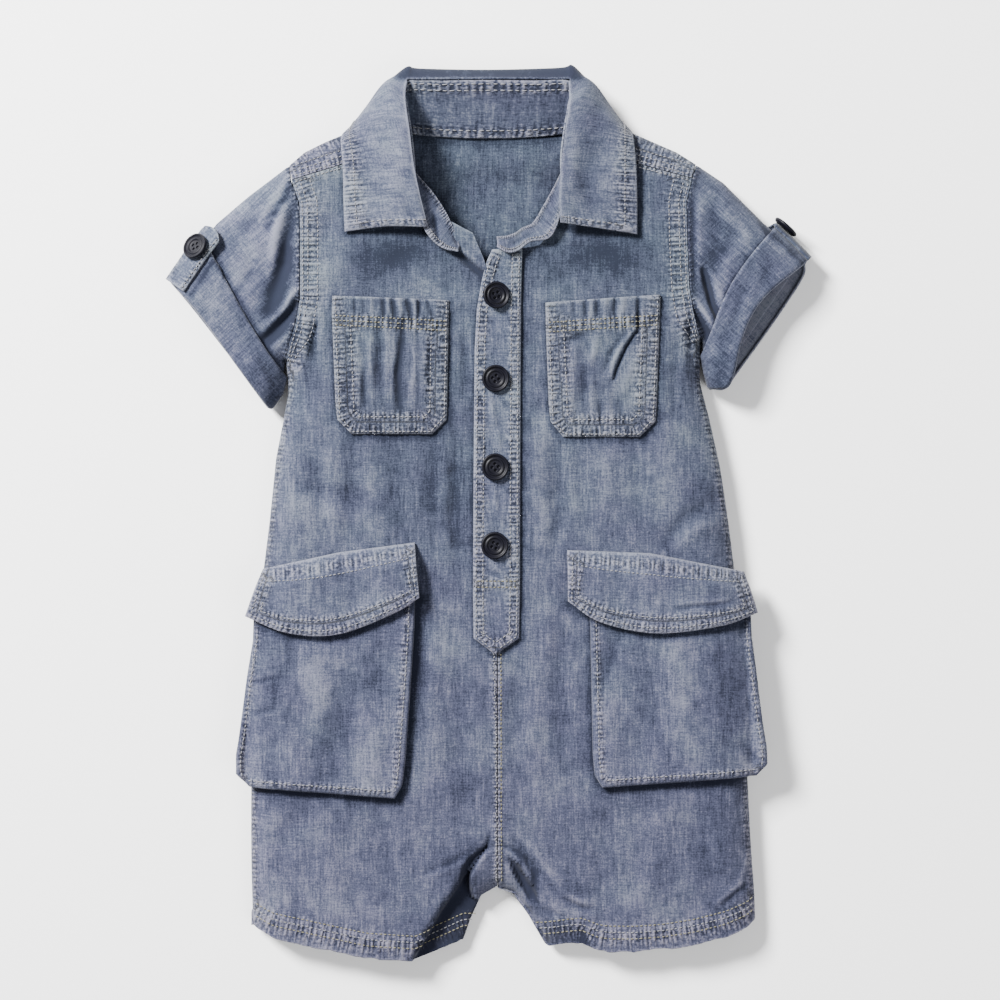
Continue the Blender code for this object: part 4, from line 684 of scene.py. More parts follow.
def chambray(name, tone=1.0, warm=0.0, seed=0.0):
    """Plain weave of white and blue yarn, with slubs both ways and soft clouds of dye.

    Along a sewn line the cloth is puckered: short waves that cross the line, each with its own
    place and strength, worn pale on their tops and left dark between them.
    """
    finish, tree, shader = new_finish(name)
    coordinates = tree.nodes.new("ShaderNodeUVMap")
    split = tree.nodes.new("ShaderNodeSeparateXYZ")
    tree.links.new(coordinates.outputs[0], split.inputs[0])
    u, v = split.outputs[0], split.outputs[1]
    parts = []
    for key in ("seam", "wear_and_shade"):
        stored = tree.nodes.new("ShaderNodeAttribute")
        stored.attribute_name = key
        each = tree.nodes.new("ShaderNodeSeparateXYZ")
        tree.links.new(stored.outputs["Vector"], each.inputs[0])
        parts.extend(each.outputs)
    run, off, band, crease, edge, shade = parts

    # Yarn both ways, thick yarns, the dye's clouds, and the cloth's puckers along the sewn line.
    warp = grain(tree, u, v, 1.15, .11, 3 + seed)
    weft = grain(tree, u, v, .13, 1.25, 9 + seed)
    slub = grain(tree, u, v, .45, .035, 14 + seed, 1.0)
    yarn = grain(tree, u, v, 2.4, .9, 21 + seed, 1.0)
    cross = grain(tree, u, v, .9, 2.4, 25 + seed, 1.0)
    cloud = grain(tree, u, v, .035, .035, 31 + seed, 3.0)
    mottle = grain(tree, u, v, .15, .12, 37 + seed, 3.0)
    pucker = grain(tree, run, off, .36, 2.1, 43 + seed, 2.0)
    wander = grain(tree, run, off, .17, .10, 53 + seed, 1.0)
    speck = grain(tree, u, v, .85, .85, 47 + seed, 2.0)

    value = .5      # 0 is the darkest blue yarn and 1 the palest; each part adds weight * (part - .5)
    for part, weight in ((warp, .62), (weft, .50), (slub, .36), (yarn, .48), (cross, .46), (speck, .50),
                         (mottle, .46), (cloud, .50)):
        value = maths(tree, "MULTIPLY_ADD", part, weight, maths(tree, "SUBTRACT", value, weight / 2))
    turns = maths(tree, "MULTIPLY_ADD", wander, 13.0, maths(tree, "MULTIPLY", run, 2.33))
    wave = maths(tree, "SINE", turns)
    strong = maths(tree, "MULTIPLY_ADD", pucker, 2.2, -.55)
    strong.node.use_clamp = True
    wave = maths(tree, "MULTIPLY", wave, maths(tree, "MULTIPLY_ADD", strong, .75, .35))
    worn = maths(tree, "MULTIPLY_ADD", pucker, 2.2, maths(tree, "MULTIPLY_ADD", speck, 1.0, -1.54))
    worn = maths(tree, "MULTIPLY_ADD", wave, .30, worn)
    value = maths(tree, "MULTIPLY_ADD", band, worn, value)
    # Tone of worn creases and dye, with painted shade in troughs, painted shadows beside laid pieces and
    # painted patches of light and shade.
    value = maths(tree, "MULTIPLY_ADD", crease, .30, value)
    value = maths(tree, "MULTIPLY_ADD", edge, maths(tree, "MULTIPLY_ADD", speck, 1.1, -.18), value)
    # Painted shade on parts that lie in shade and on inner faces.
    value = maths(tree, "MULTIPLY_ADD", shade, -.62, value)

    ramp = tree.nodes.new("ShaderNodeValToRGB")
    stops = ramp.color_ramp.elements
    stops[0].position, stops[0].color = .12, (*(c * tone for c in DEEP_INDIGO), 1)
    stops[1].position, stops[1].color = .91, (*(c * tone for c in WORN_INDIGO), 1)
    middle = stops.new(.50)
    middle.color = (*(c * tone for c in CLEAR_INDIGO), 1)
    tree.links.new(value, ramp.inputs[0])

    # The dye is warmer low down and greener high up, and sewn bands are aged.
    up = maths(tree, "MULTIPLY_ADD", v, .0022, .42)
    region = maths(tree, "MULTIPLY_ADD", cloud, 1.6, maths(tree, "SUBTRACT", up, .8))
    region.node.use_clamp = True
    tint = blend(tree, region, (1.06, .975, 1.07, 1), (.93, 1.015, .97, 1))
    colour = blend(tree, 1.0, ramp.outputs[0], tint, "MULTIPLY")
    aged = maths(tree, "MULTIPLY", band, .45 + warm)
    aged.node.use_clamp = True
    aged = blend(tree, aged, (1, 1, 1, 1), (1.20, 1.13, 1.02, 1))
    colour = blend(tree, 1.0, colour, aged, "MULTIPLY")
    tree.links.new(colour, shader.inputs["Base Color"])

    weave = maths(tree, "MULTIPLY_ADD", yarn, .05, maths(tree, "MULTIPLY", cross, .05))
    weave = maths(tree, "MULTIPLY_ADD", warp, .06, weave)
    folds = maths(tree, "MULTIPLY_ADD", pucker, 1.1, maths(tree, "MULTIPLY", wave, .34))
    height = maths(tree, "MULTIPLY_ADD", folds, band, weave)
    bump = tree.nodes.new("ShaderNodeBump")
    bump.inputs["Strength"].default_value = 1.0
    bump.inputs["Distance"].default_value = MM
    tree.links.new(height, bump.inputs["Height"])
    tree.links.new(bump.outputs[0], shader.inputs["Normal"])
    shader.inputs["Roughness"].default_value = .92
    shader.inputs["Specular IOR Level"].default_value = .15
    shader.inputs["Sheen Weight"].default_value = .08
    shader.inputs["Sheen Roughness"].default_value = .5
    return finish


def thread(name, colour):
    """Twisted cotton: one colour, flecked with a darker tone of it."""
    finish, tree, shader = new_finish(name)
    dark = tuple(.55 * c for c in colour) + (1,)
    fleck = own_noise(tree, 420)
    tree.links.new(blend(tree, fleck, dark, (*colour, 1)), shader.inputs["Base Color"])
    shader.inputs["Roughness"].default_value = .75
    return finish


def horn(name):
    """Dark polished button: faint streaks and fine scratches."""
    finish, tree, shader = new_finish(name)
    streak = own_noise(tree, 260, 3)
    colour = blend(tree, streak, (.0014, .0014, .0030, 1), (.0044, .0044, .0085, 1))
    tree.links.new(colour, shader.inputs["Base Color"])
    tree.links.new(maths(tree, "MULTIPLY_ADD", streak, .25, .34), shader.inputs["Roughness"])
    shader.inputs["Specular IOR Level"].default_value = .13
    return finish


# Name, tone of the dye (for the backs a darker tone, painted shade where they show through the openings), how
# much more the sewn bands are aged, and the seed.
BODY = chambray("body_chambray", .98, 0, 0)
SHADED_BACKS = chambray("back_chambray_painted_shade", .84, 0, 60)
TRIM = chambray("trim_chambray", 1.03, .1, 90)
COLLAR = chambray("collar_chambray", 1.02, .05, 210)
POCKET = chambray("pocket_chambray", .92, .15, 120)
LEGS = chambray("cargo_chambray", 1.02, 0, 150)
SLEEVE = chambray("sleeve_chambray", 1.04, 0, 180)
PALE = thread("pale_thread", (.196, .195, .208))
KHAKI = thread("khaki_thread", (.182, .168, .110))
BLUE = thread("blue_thread", (.030, .038, .070))
HORN = horn("dark_horn")


# ---- fronts and backs --------------------------------------------------------
TURNED = 1 - np.cos(np.linspace(0, math.pi / 2, 15))     # even steps round a folded edge


def stations(panel, step):
    """A panel's stations at even steps along its longer side, with more of them at both ends."""
    names = list(panel)
    rows = np.stack([panel[n] for n in names], -1)
    long = np.maximum(np.hypot(*np.diff(rows[:, :2], axis=0).T), np.hypot(*np.diff(rows[:, 2:], axis=0).T))
    run = np.concatenate([[0], np.cumsum(long)])
    fine = np.linspace(0, run[-1], int(run[-1] / step))
    fine = np.unique(np.concatenate([fine, run[-1] - np.array([.4, 1.0, 1.8]), [.4, 1.0, 1.8]]))
    return dict(zip(names, [np.interp(fine, run, rows[:, k]) for k in range(4)]))


def hem_wave(x):
    """Small waves of a leg's hem."""
    return .55 * noise(x, 0 * x, 7, 8) + .35 * noise(x, 0 * x, 2.8, 18)


def panel_plan(rows, hem, middle, near):
    """Plan points of a body panel, with columns crowded at its inner edge and its fold."""
    inner = np.stack([rows["inner_x"], rows["inner_y"]], -1)
    outer = np.stack([rows["outer_x"], rows["outer_y"]], -1)
    length = np.linalg.norm(outer - inner, axis=1)[:, None]
    turned = TURN * TURNED[1:] / length
    body = np.linspace(0, 1, middle + 2)[1:-1] * (1 - turned[:, -1:] - near[-1] / length)
    share = np.concatenate([near / length, near[-1] / length + body, 1 - turned[:, ::-1],
                            np.ones_like(length)], axis=1)
    plan = inner[:, None] + share[..., None] * (outer - inner)[:, None]
    bend = ease((HEM_FROM - rows["outer_y"]) / (HEM_FROM - rows["outer_y"][-1]))[:, None]
    drop = np.interp(share, hem["share"], hem["drop"])
    plan[..., 1] -= bend * (drop + hem_wave(plan[..., 0]) * bend ** 6)
    return plan


def hem_line(panel, hem, up):
    """A line that keeps the same distance above a leg's hem."""
    share = np.linspace(.015 - .0055 * up, .985, 60)
    inner = np.array([panel["inner_x"][-1], panel["inner_y"][-1]])
    outer = np.array([panel["outer_x"][-1], panel["outer_y"][-1]])
    line = inner + share[:, None] * (outer - inner)
    line[:, 1] -= np.interp(share, hem["share"], hem["drop"]) - up
    return line


def place_front(x, y):
    """Points of the front's outer face over plan places."""
    return np.stack([x, y, front_z(x, y)], -1)


FRONTS = {
    -1: dict(name="left", panel=FRONT_LEFT, hem=HEM_LEFT, hole=ARMHOLE_LEFT, back=BACK_ARMHOLE_LEFT,
             centre=[(3.4, -77), (4.6, -120), (4.8, -160), (4.8, -204)]),
    1: dict(name="right", panel=FRONT_RIGHT, hem=HEM_RIGHT, hole=ARMHOLE_RIGHT, back=BACK_ARMHOLE_RIGHT,
            centre=[(5.2, -77), (5.3, -120), (5.4, -160), (5.6, -204)]),
}


def laid_edges(side):
    """Plan outlines of the pieces laid on a front."""
    chest, cargo = CHEST[side], CARGO[side]
    rows, (low_tilt, high_tilt) = chest["rows"], chest["tilt"]
    foot = cargo["body"]["y"][-1]
    inner = cargo_line(cargo, side, np.linspace(-50, foot, 14), 0)
    bottom = cargo_line(cargo, side, foot, np.linspace(0, 1, 20))
    leaf = [FALL[k][9:11] for k in ((0, 1, 2, 3, 4) if side < 0 else (18, 17, 16, 15, 14))]
    tip = FALL[0 if side < 0 else 18]
    return [np.stack([np.interp(-np.array([119, 108, 60, 51, 43]), -rows["y"], rows["low"]),
                      np.array([119 + low_tilt, 108 + low_tilt, 60, 51, rows["y"][-1]])], -1),
            np.stack([np.interp(-np.array([119, 108, 60, 51, 43]), -rows["y"], rows["high"]),
                      np.array([119 + high_tilt, 108 + high_tilt, 60, 51, rows["y"][-1]])], -1),
            [(rows["low"][-1], rows["y"][-1]), (rows["high"][-1], rows["y"][-1])],
            np.stack([PLACKET["left" if side < 0 else "right"], PLACKET["y"]], -1),
            inner, bottom, curve(cargo["flap_low"], np.linspace(0, 1, 22)), leaf,
            [tip[0:2], tip[3:5], tip[6:8], tip[9:11]]]


def front_seams(side):
    """Sewn lines of a front, each with the half width of its puckered band."""
    spec = FRONTS[side]
    hole = spec["hole"][1:]
    lines = [(inset(hole, -side * 5.5), 5.5), (spec["centre"], 2.2),
             (hem_line(spec["panel"], spec["hem"], 8.0), 6.0),
             (inset(pairs(spec["panel"], "outer", UNDERARM)[:-1], -side * 2.0), 1.8)]
    seam = [(spec["panel"]["outer_x"][0], spec["panel"]["outer_y"][0]),
            (spec["panel"]["inner_x"][0], spec["panel"]["inner_y"][0])]
    lines.append((seam, 3.0))
    return lines


def make_front(side):
    """A front: front_z over its plan, with puckers along its seams."""
    spec = FRONTS[side]
    rows = stations(spec["panel"], 1.6)
    near = np.concatenate([[0, .4, 1.0], np.linspace(1.9, 27, 19)])
    plan = panel_plan(rows, spec["hem"], 52, near)
    x, y = plan[..., 0], plan[..., 1]
    points = place_front(x, y)
    lines = front_seams(side)
    run, _, band = seam_map(x, y, lines)
    level = ease((from_edge(x, y) - 1.5) / 6)
    points[..., 2] += .45 * band * ripple(run, 4.6, 5 + side) * level
    edge = np.zeros(x.shape)
    edge[:, :3] = [-.55, -.15, 0]
    points[..., 2] += edge * (y < 120)
    if side < 0:        # the facing stands up beside the neck's lower corner
        inside = ease(((x + 15.2) * .72 + (y - 146.5) * .69) / 1.6 + .5) * ease((y - 128) / 6)
        points[..., 2] += 1.7 * inside * ease((164 - y) / 4)
    edges = laid_edges(side)
    # Painted shade and light in the tone: the creases' troughs, the patches, a painted shadow beside each
    # laid piece and a wider one below the cargo pocket and its flap.
    tone = crease_wear_and_shade(x, y, BODY_CREASES) + dye_and_painted_shading(x, y) + 1.1 * painted_shadow(x, y, edges)
    tone = tone + .45 * painted_shadow(x, y, edges[4:7], 7.0)      # the cargo pocket's and its flap's edges
    # Painted shade on a leg's inner part, which lies lower behind its fold, and on the inner face.
    inner = np.clip(leg_sink(x, y) / 4, 0, 1)
    made = cloth("front_" + spec["name"] + "_cloth",
                 [shell(points, (0, 0, 1.0), uv=plan, lines=lines, tone=tone, shade=inner, rim=.6,
                        inside=.5)],
                 BODY, ["front_" + spec["name"]])
    sew_front(side, spec)
    return made


def sew_front(side, spec):
    """Stitch rows of a front: armhole, hem, centre seam and shoulder."""
    hole = spec["hole"][1:]
    for off in (1.4, 4.2, 9.6):
        line, near = inset(hole, -side * off)[3:-1], inset(hole, -side * 1.2)[3:-1]
        end = ease((np.arange(len(line)) - len(line) + 18) / 18)[:, None]
        sew(place_front, line + .62 * end * (near - line), "pale", 2.3)
    for up, tone in ((7.0, "khaki"), (10.5, "pale"), (14.0, "khaki")):
        sew(place_front, hem_line(spec["panel"], spec["hem"], up), tone, 2.4)
    if side > 0:
        sew(place_front, np.array(spec["centre"]) + [1.6, 0], "khaki", 2.2)
    else:
        zig = at(spec["centre"], np.linspace(0, 1, 70)) - [.5, 0]
        zig[:, 0] += 1.2 * (np.arange(70) % 2) - .6
        sew(place_front, zig, "pale", 2.0)
    low = spec["panel"]
    seam = [(low["outer_x"][0] * .985, low["outer_y"][0] - 1.2), (low["inner_x"][0], low["inner_y"][0] - 1.6)]
    sew(place_front, seam, "pale", 2.4)


def make_back(side):
    """A back: back_z over its plan with a few wrinkles, from the yoke's seam to the hem."""
    spec = FRONTS[side]
    panel = spec["panel"]
    stationed = {k: v[UNDERARM:] for k, v in panel.items()}
    above = [p for p in spec["back"] if panel["outer_y"][UNDERARM] + 1 < p[1] < YOKE_SEAM + 1][::-1]
    centre = panel["inner_x"][UNDERARM]
    rows = np.array([(centre, min(y, YOKE_SEAM - .15), x, min(y, YOKE_SEAM - .15)) for x, y in above][::-1])
    stationed = {k: np.concatenate([rows[:, n], stationed[k]]) for n, k in enumerate(panel)}
    fine = stations(stationed, 3.6)
    plan = panel_plan(fine, spec["hem"], 30, np.array([0, 1.0]))
    x, y = plan[..., 0], plan[..., 1]
    wrinkle = (.5 * noise(x, y, 24, 6) + .2 * noise(x, y, 9, 7) + .5) * ease(from_edge(x, y) / 18)
    z = back_z(x, y) + .35 * wrinkle * ease((from_edge(x, y) - 6) / 14)
    points = np.stack([x, y, np.maximum(z, .02)], -1)
    lines = [(hem_line(panel, spec["hem"], 8.0), 7.0), ([(5, 126), (5, -204)], 3.0),
             (inset(pairs(panel, "outer", UNDERARM)[:-1], -side * 2.0), 1.8)]
    # The backs' darker chambray and their inner faces' shade are painted shade.
    return cloth("back_" + spec["name"] + "_cloth",
                 [shell(points, (0, 0, -1.0), uv=plan, lines=lines, inside=.5)], SHADED_BACKS,
                 ["back_" + spec["name"]])


# ---- yoke, sleeves, cuffs and tabs -------------------------------------------
def ruled(start, end, first, last, rows, columns):
    """Plan points of a four-sided patch between its four border lines (a Coons patch)."""
    a, b = np.array(rows)[:, None, None], np.array(columns)[None, :, None]
    low = (1 - a) * np.array(start[0]) + a * np.array(end[0])
    high = (1 - a) * np.array(start[-1]) + a * np.array(end[-1])
    return ((1 - a) * at(start, columns)[None] + a * at(end, columns)[None]
            + (1 - b) * (at(first, rows)[:, None] - low) + b * (at(last, rows)[:, None] - high))


def make_yoke():
    """The yoke as three shells: a strip on each front, and the part behind the neck."""
    shells = []
    for side, ridge, hole, neck in ((-1, RIDGE_LEFT[::-1], ARMHOLE_LEFT, (-49.8, 200.8)),
                                    (1, RIDGE_RIGHT[::-1], ARMHOLE_RIGHT, (49.2, 200.8))):
        seam = [(hole[1][0], hole[1][1] + .3), neck]
        share = np.concatenate([TURNED * .9, [.95, .98, 1]])
        plan = ruled(ridge, seam, [ridge[0], seam[0]], [ridge[-1], seam[-1]], share, np.linspace(0, 1, 60))
        x, y = plan[..., 0], plan[..., 1]
        z = front_z(x, y) + .35 * ripple(x * 1.1 + y * .3, 4.2, 11 + side) * ease(share / .4)[:, None]
        z[-3:] -= np.array([0, .15, .5])[:, None]
        points = np.stack([x, y, z], -1)
        lines = [(seam, 8.0), (ridge, 6.0)]
        # Painted shadow of the collar's leaf on the yoke.
        tone = painted_shadow(x, y, [[FALL[k][9:11] for k in (1, 2, 3, 4)] if side < 0
                           else [FALL[k][9:11] for k in (17, 16, 15, 14)]], 3.2)
        shells.append(shell(points, (0, 0, 1.0), uv=plan[..., ::-1], tone=tone, rim=.5,
                            lines=[(np.array(line)[:, ::-1], wide) for line, wide in lines]))
        for off in (1.6, 4.4, 7.6):
            sew(place_front, inset(seam, -side * off)[2:-2], "pale", 2.3)
    share = np.linspace(0, 1, 40)
    top = np.vstack([at(RIDGE_LEFT[::-1], share), at(NECK_BACK, np.linspace(0, 1, 40))[1:-1],
                     at(RIDGE_RIGHT, share)])
    bottom = np.stack([np.linspace(-104.2, 110.2, len(top)), np.full(len(top), YOKE_SEAM + .15)], -1)
    down = np.concatenate([TURNED * .26, np.linspace(.26, 1, 24)[1:]])[:, None, None]
    plan = (1 - down) * top + down * bottom
    x, y = plan[..., 0], plan[..., 1]
    z = back_z(x, y) + .25 * (noise(x, y, 18, 9) + 1) * ease((from_edge(x, y) - 5) / 12)
    z = z - .9 * relief(x, y, NECK_CREASES) * ease((from_edge(x, y) - 5) / 12)
    lines = [([(-104, 129), (110, 129)], 4.0)]
    # Painted shadow of the stand on the yoke behind the neck.
    tone = .8 * painted_shadow(x, y, [[p[0:2] for p in STAND]], 4.0) - .1 + .2 * noise(x, y, 20, 13)
    points = np.stack([x, y, np.maximum(z, .02)], -1)
    shells.append(shell(points, (0, 0, -1.0), uv=plan, lines=lines, tone=tone, inside=.10))
    return cloth("yoke_cloth", shells, TRIM, ["yoke"])


NECK_CREASES = table("x0 y0 x1 y1 wide high bow", [
    (-30, 196, -12, 150, 7, -.9, 2), (-4, 200, -2, 160, 8, .8, 0), (22, 192, 30, 165, 6, -.8, 0),
    (-40, 190, -32, 172, 4, .7, 0), (10, 176, 26, 158, 5, .6, 1)])

# inside is painted shade on a sleeve's and cuff's inner faces; below zero it paints them lighter.
SLEEVES = {
    -1: dict(name="left", inside=.1, top=SLEEVE_TOP_LEFT, under=SLEEVE_UNDER_LEFT, hole=ARMHOLE_LEFT,
             back=BACK_ARMHOLE_LEFT, gape=4, cuff_top=.66, cuff_under=.24, bow=-1,
             tab=(-1.8, 10.8), tab_from=.585, tab_rim=1.3, tab_shade=0,
             button_at=.735, button_across=4.0, grain=(.72, .69),
             mouth=[(-175.2, 126.2), (-160.5, 110.5), (-150, 96.5), (-141, 84), (-129.5, 68), (-122.6, 58)],
             behind=[(-175.2, 126.2), (-163, 111), (-149, 93), (-136, 76), (-122.6, 58)]),
    1: dict(name="right", inside=-.5, top=SLEEVE_TOP_RIGHT, under=SLEEVE_UNDER_RIGHT, hole=ARMHOLE_RIGHT,
            back=BACK_ARMHOLE_RIGHT, gape=11, cuff_top=.68, cuff_under=.24, bow=-6,
            tab=(-8.6, 1.6), tab_from=.64, tab_rim=.3, tab_shade=.45,
            button_at=.735, button_across=0.0, grain=(-.72, .69),
            mouth=[(175.7, 138), (169, 132.6), (158.1, 124.2), (149.6, 115.6), (143.6, 106), (138.6, 92.5),
                   (135.2, 76), (131.5, 68.4), (124.4, 68.2)],
            behind=[(175.7, 138), (175.2, 131), (164.5, 114), (151.5, 95.3), (138.5, 77.5), (131.8, 68.6),
                    (124.4, 68.2)]),
}


def bowed(start, end, depth):
    """A line between two points, bowed aside by depth * sin(pi * share)."""
    start, end = np.array(start, float), np.array(end, float)
    share = np.linspace(0, 1, 15)[:, None]
    run = unit(end - start)
    return start + share * (end - start) + depth * np.sin(math.pi * share) * np.array([-run[1], run[0]])


def tube(hole_front, hole_back, end_front, end_back, top, under, rows, middle, out, creases):
    """A flattened sleeve as one grid: over the front layer and back under the back layer."""
    wide = 70.0
    share = np.concatenate([TURNED[:-1] * TURN / wide, np.linspace(TURN / wide, 1 - TURN / wide, middle),
                            1 - TURNED[-2::-1] * TURN / wide])
    share = share / share[-1]
    layers = []
    for start, end, front in ((hole_front, end_front, True), (hole_back, end_back, False)):
        plan = ruled(start, end, top, under, rows, share)
        x, y = plan[..., 0], plan[..., 1]
        z = front_z(x, y, creases) if front else back_z(x, y)
        layers.append(np.stack([x, y, z], -1))
    layers[1][:, [0, -1]] = layers[0][:, [0, -1]]
    points = np.concatenate([layers[0], layers[1][:, -2::-1]], axis=1)
    normal = unit(np.cross(np.gradient(points, axis=1), np.gradient(points, axis=0)))
    middle_of = points.mean(axis=1, keepdims=True)
    sign = 1 if (normal * (points - middle_of)).sum(-1).mean() > 0 else -1
    points = points + np.asarray(out)[:, None, None] * sign * normal
    points[..., 2] = np.maximum(points[..., 2], .02)
    return points, points - middle_of


def turned_uv(points, way):
    """Cloth coordinates of a sleeve: its grain runs along the arm."""
    x, y = points[..., 0], points[..., 1]
    return np.stack([x * way[1] - y * way[0], x * way[0] + y * way[1]], -1)


def cuff_hem(spec):
    """The upper edge of the turned-up cloth, over the front of the sleeve."""
    start, end = at(spec["top"], [spec["cuff_top"]])[0], at(spec["under"], [spec["cuff_under"]])[0]
    return bowed(start, end, spec["bow"])


def make_sleeve(side):
    """A sleeve: a flattened tube from the armhole to just inside its fold."""
    spec = SLEEVES[side]
    top, under = spec["top"], spec["under"]
    hole_front = [top[0]] + [(x + side * .3, y) for x, y in spec["hole"][1:-1]] + [under[0]]
    hole_back = [top[0]] + [(x + side * .3, y) for x, y in spec["back"][1:-1]] + [under[0]]
    short_top, short_under = at(top, np.linspace(0, .97, 30)), at(under, np.linspace(0, .97, 30))
    rows = np.concatenate([[0, .008, .02, .04], np.linspace(.06, 1, 62)])
    out = np.zeros(len(rows))
    out[:3] = [-.5, -.2, 0]
    points, facing = tube(hole_front, hole_back, bowed(short_top[-1], short_under[-1], -side * spec["gape"]),
                          bowed(short_top[-1], short_under[-1], 0), short_top, short_under, rows, 40,
                          out, SLEEVE_CREASES)
    uv = turned_uv(points, spec["grain"])
    seam = turned_uv(np.array(hole_front), spec["grain"])
    x, y = points[..., 0], points[..., 1]
    over = np.arange(points.shape[1]) < points.shape[1] // 2
    cuff_edge = cuff_hem(spec)
    # Painted shadow along the cuff's hem and along the armhole.
    dark = 1.3 * painted_shadow(x, y, [cuff_edge, hole_front], 2.2)
    tone = (2.1 * crease_wear_and_shade(x, y, SLEEVE_CREASES) + dye_and_painted_shading(x, y) + dark) * over
    return cloth("sleeve_" + spec["name"] + "_cloth",
                 [shell(points, facing, uv=uv, lines=[(seam, 2.2)], tone=tone, rim=.3,
                        inside=spec["inside"])],
                 SLEEVE, ["sleeve_" + spec["name"]])


def cuff_out(row):
    """How far the turned-up cloth stands off the sleeve: round at its fold, thin at its hem."""
    return np.interp(row, [0, .02, .07, .15, .9, .96, .985, 1], [1.4, 2.3, 3.0, 2.8, 2.8, 2.4, 1.6, .2])


def make_cuff(side):
    """A turned-up cuff: a short tube that stands off the sleeve by cuff_out."""
    spec = SLEEVES[side]
    top = at(spec["top"], np.linspace(spec["cuff_top"], 1, 20))
    under = at(spec["under"], np.linspace(spec["cuff_under"], 1, 20))
    hem = cuff_hem(spec)
    rows = np.concatenate([[0, .015, .04], np.linspace(.07, .93, 30), [.95, .965, .98, .99, 1]])
    mouth, behind = (curve(spec[k], np.linspace(0, 1, 30)) for k in ("mouth", "behind"))
    points, facing = tube(hem, hem, mouth, behind, top, under, rows, 44, cuff_out(rows), CUFF_CREASES)
    uv = turned_uv(points, spec["grain"])
    across = points.shape[1]
    x, y = points[..., 0], points[..., 1]
    over = np.arange(across) < across // 2
    # Painted shadow on the cuff beside the tab's inner edge.
    share = np.linspace(spec["tab_from"] - .02, .98, 14)
    beside = [tab_point(spec, share, np.full(14, spec["tab"][1] + 1.0))[0][:, :2]]
    tone = (1.3 * crease_wear_and_shade(x, y, CUFF_CREASES) + dye_and_painted_shading(x, y) + 1.5 * painted_shadow(x, y, beside, 2.0)) * over
    return cloth("cuff_" + spec["name"] + "_cloth",
                 [shell(points, facing, uv=uv, tone=tone, rim=.7, inside=spec["inside"])], SLEEVE,
                 ["cuff_" + spec["name"]])


def tab_point(spec, share, across):
    """A point over the cuff, by share of its top edge and distance round the fold."""
    line = np.array(spec["top"], float)
    here = at(line, share)
    along = unit(at(line, np.minimum(share + .02, 1)) - at(line, share - .02))
    inwards = np.stack([along[..., 1], -along[..., 0]], -1)
    inwards = inwards * np.where(inwards[..., 1:] > 0, -1, 1)
    d = np.abs(across)
    plan = here + inwards * d[..., None]
    x, y = plan[..., 0], plan[..., 1]
    turn = quarter_round(d)
    crown_z = level_height(y)
    base = 2.4            # the back under a cuff
    z = np.where(across >= 0, edge_height(y) + (crown_z - edge_height(y)) * turn,
                 base + (edge_height(y) - base) * (1 - turn))
    rise = np.where(across >= 0, crown_z - edge_height(y), edge_height(y) - base)
    steep = rise * (1 - np.clip(d / TURN, 0, 1)) / (TURN * np.maximum(turn, .02))
    normal = unit(np.concatenate([-steep[..., None] * inwards,
                                  np.where(across >= 0, 1.0, -1.0)[..., None]], -1))
    return np.stack([x, y, z], -1), normal


def make_tab(side):
    """A roll tab: a strip along the sleeve's top edge, bent round it, with a round end."""
    spec = SLEEVES[side]
    low, high = spec["tab"]
    long = 93.0 if side < 0 else 81.9

    def place(u, v):
        """Points of the outer face over places on it."""
        p, n = tab_point(spec, v / long, u)
        p = p + n * 4.9
        p[..., 2] = np.maximum(p[..., 2], .4)
        return p

    rows = np.concatenate([np.linspace(spec["tab_from"], spec["tab_from"] + .04, 8),
                           np.linspace(spec["tab_from"] + .05, .995, 46)])
    round_end = np.sqrt(np.clip((rows - spec["tab_from"]) / .045 + .04, 0, 1))
    across = np.linspace(-1, 1, 21)
    middle, half = (low + high) / 2, (high - low) / 2
    u = middle + half * across[None] * round_end[:, None]
    v = np.repeat(rows[:, None] * long, 21, 1)
    edge = np.where(np.abs(across) > .95, -.35, 0) + .25 * np.exp(-((np.abs(across) - .62) / .18) ** 2)
    p, n = tab_point(spec, v / long, u)
    points = p + n * (4.6 + edge[None] + .15 * noise(u, v, 4, 31))[..., None]
    points[..., 2] = np.maximum(points[..., 2], .1)
    lines = [([(middle - half * .8, v[3, 0]), (middle - half * .8, v[-1, 0])], 1.8),
             ([(middle + half * .8, v[3, 0]), (middle + half * .8, v[-1, 0])], 1.8)]
    made = cloth("tab_" + spec["name"] + "_cloth",
                 [shell(points, n, wall=1.4, uv=np.stack([u, v], -1), lines=lines if side < 0 else (),
                        rim=spec["tab_rim"], shade=spec["tab_shade"])], TRIM, ["tab_" + spec["name"]])
    for side_at in (-.74, .74) if side < 0 else (-.74,):
        sew(place, [(middle + half * side_at, v[6, 0]), (middle + half * side_at, v[-2, 0])], "pale", 2.2)
    return made


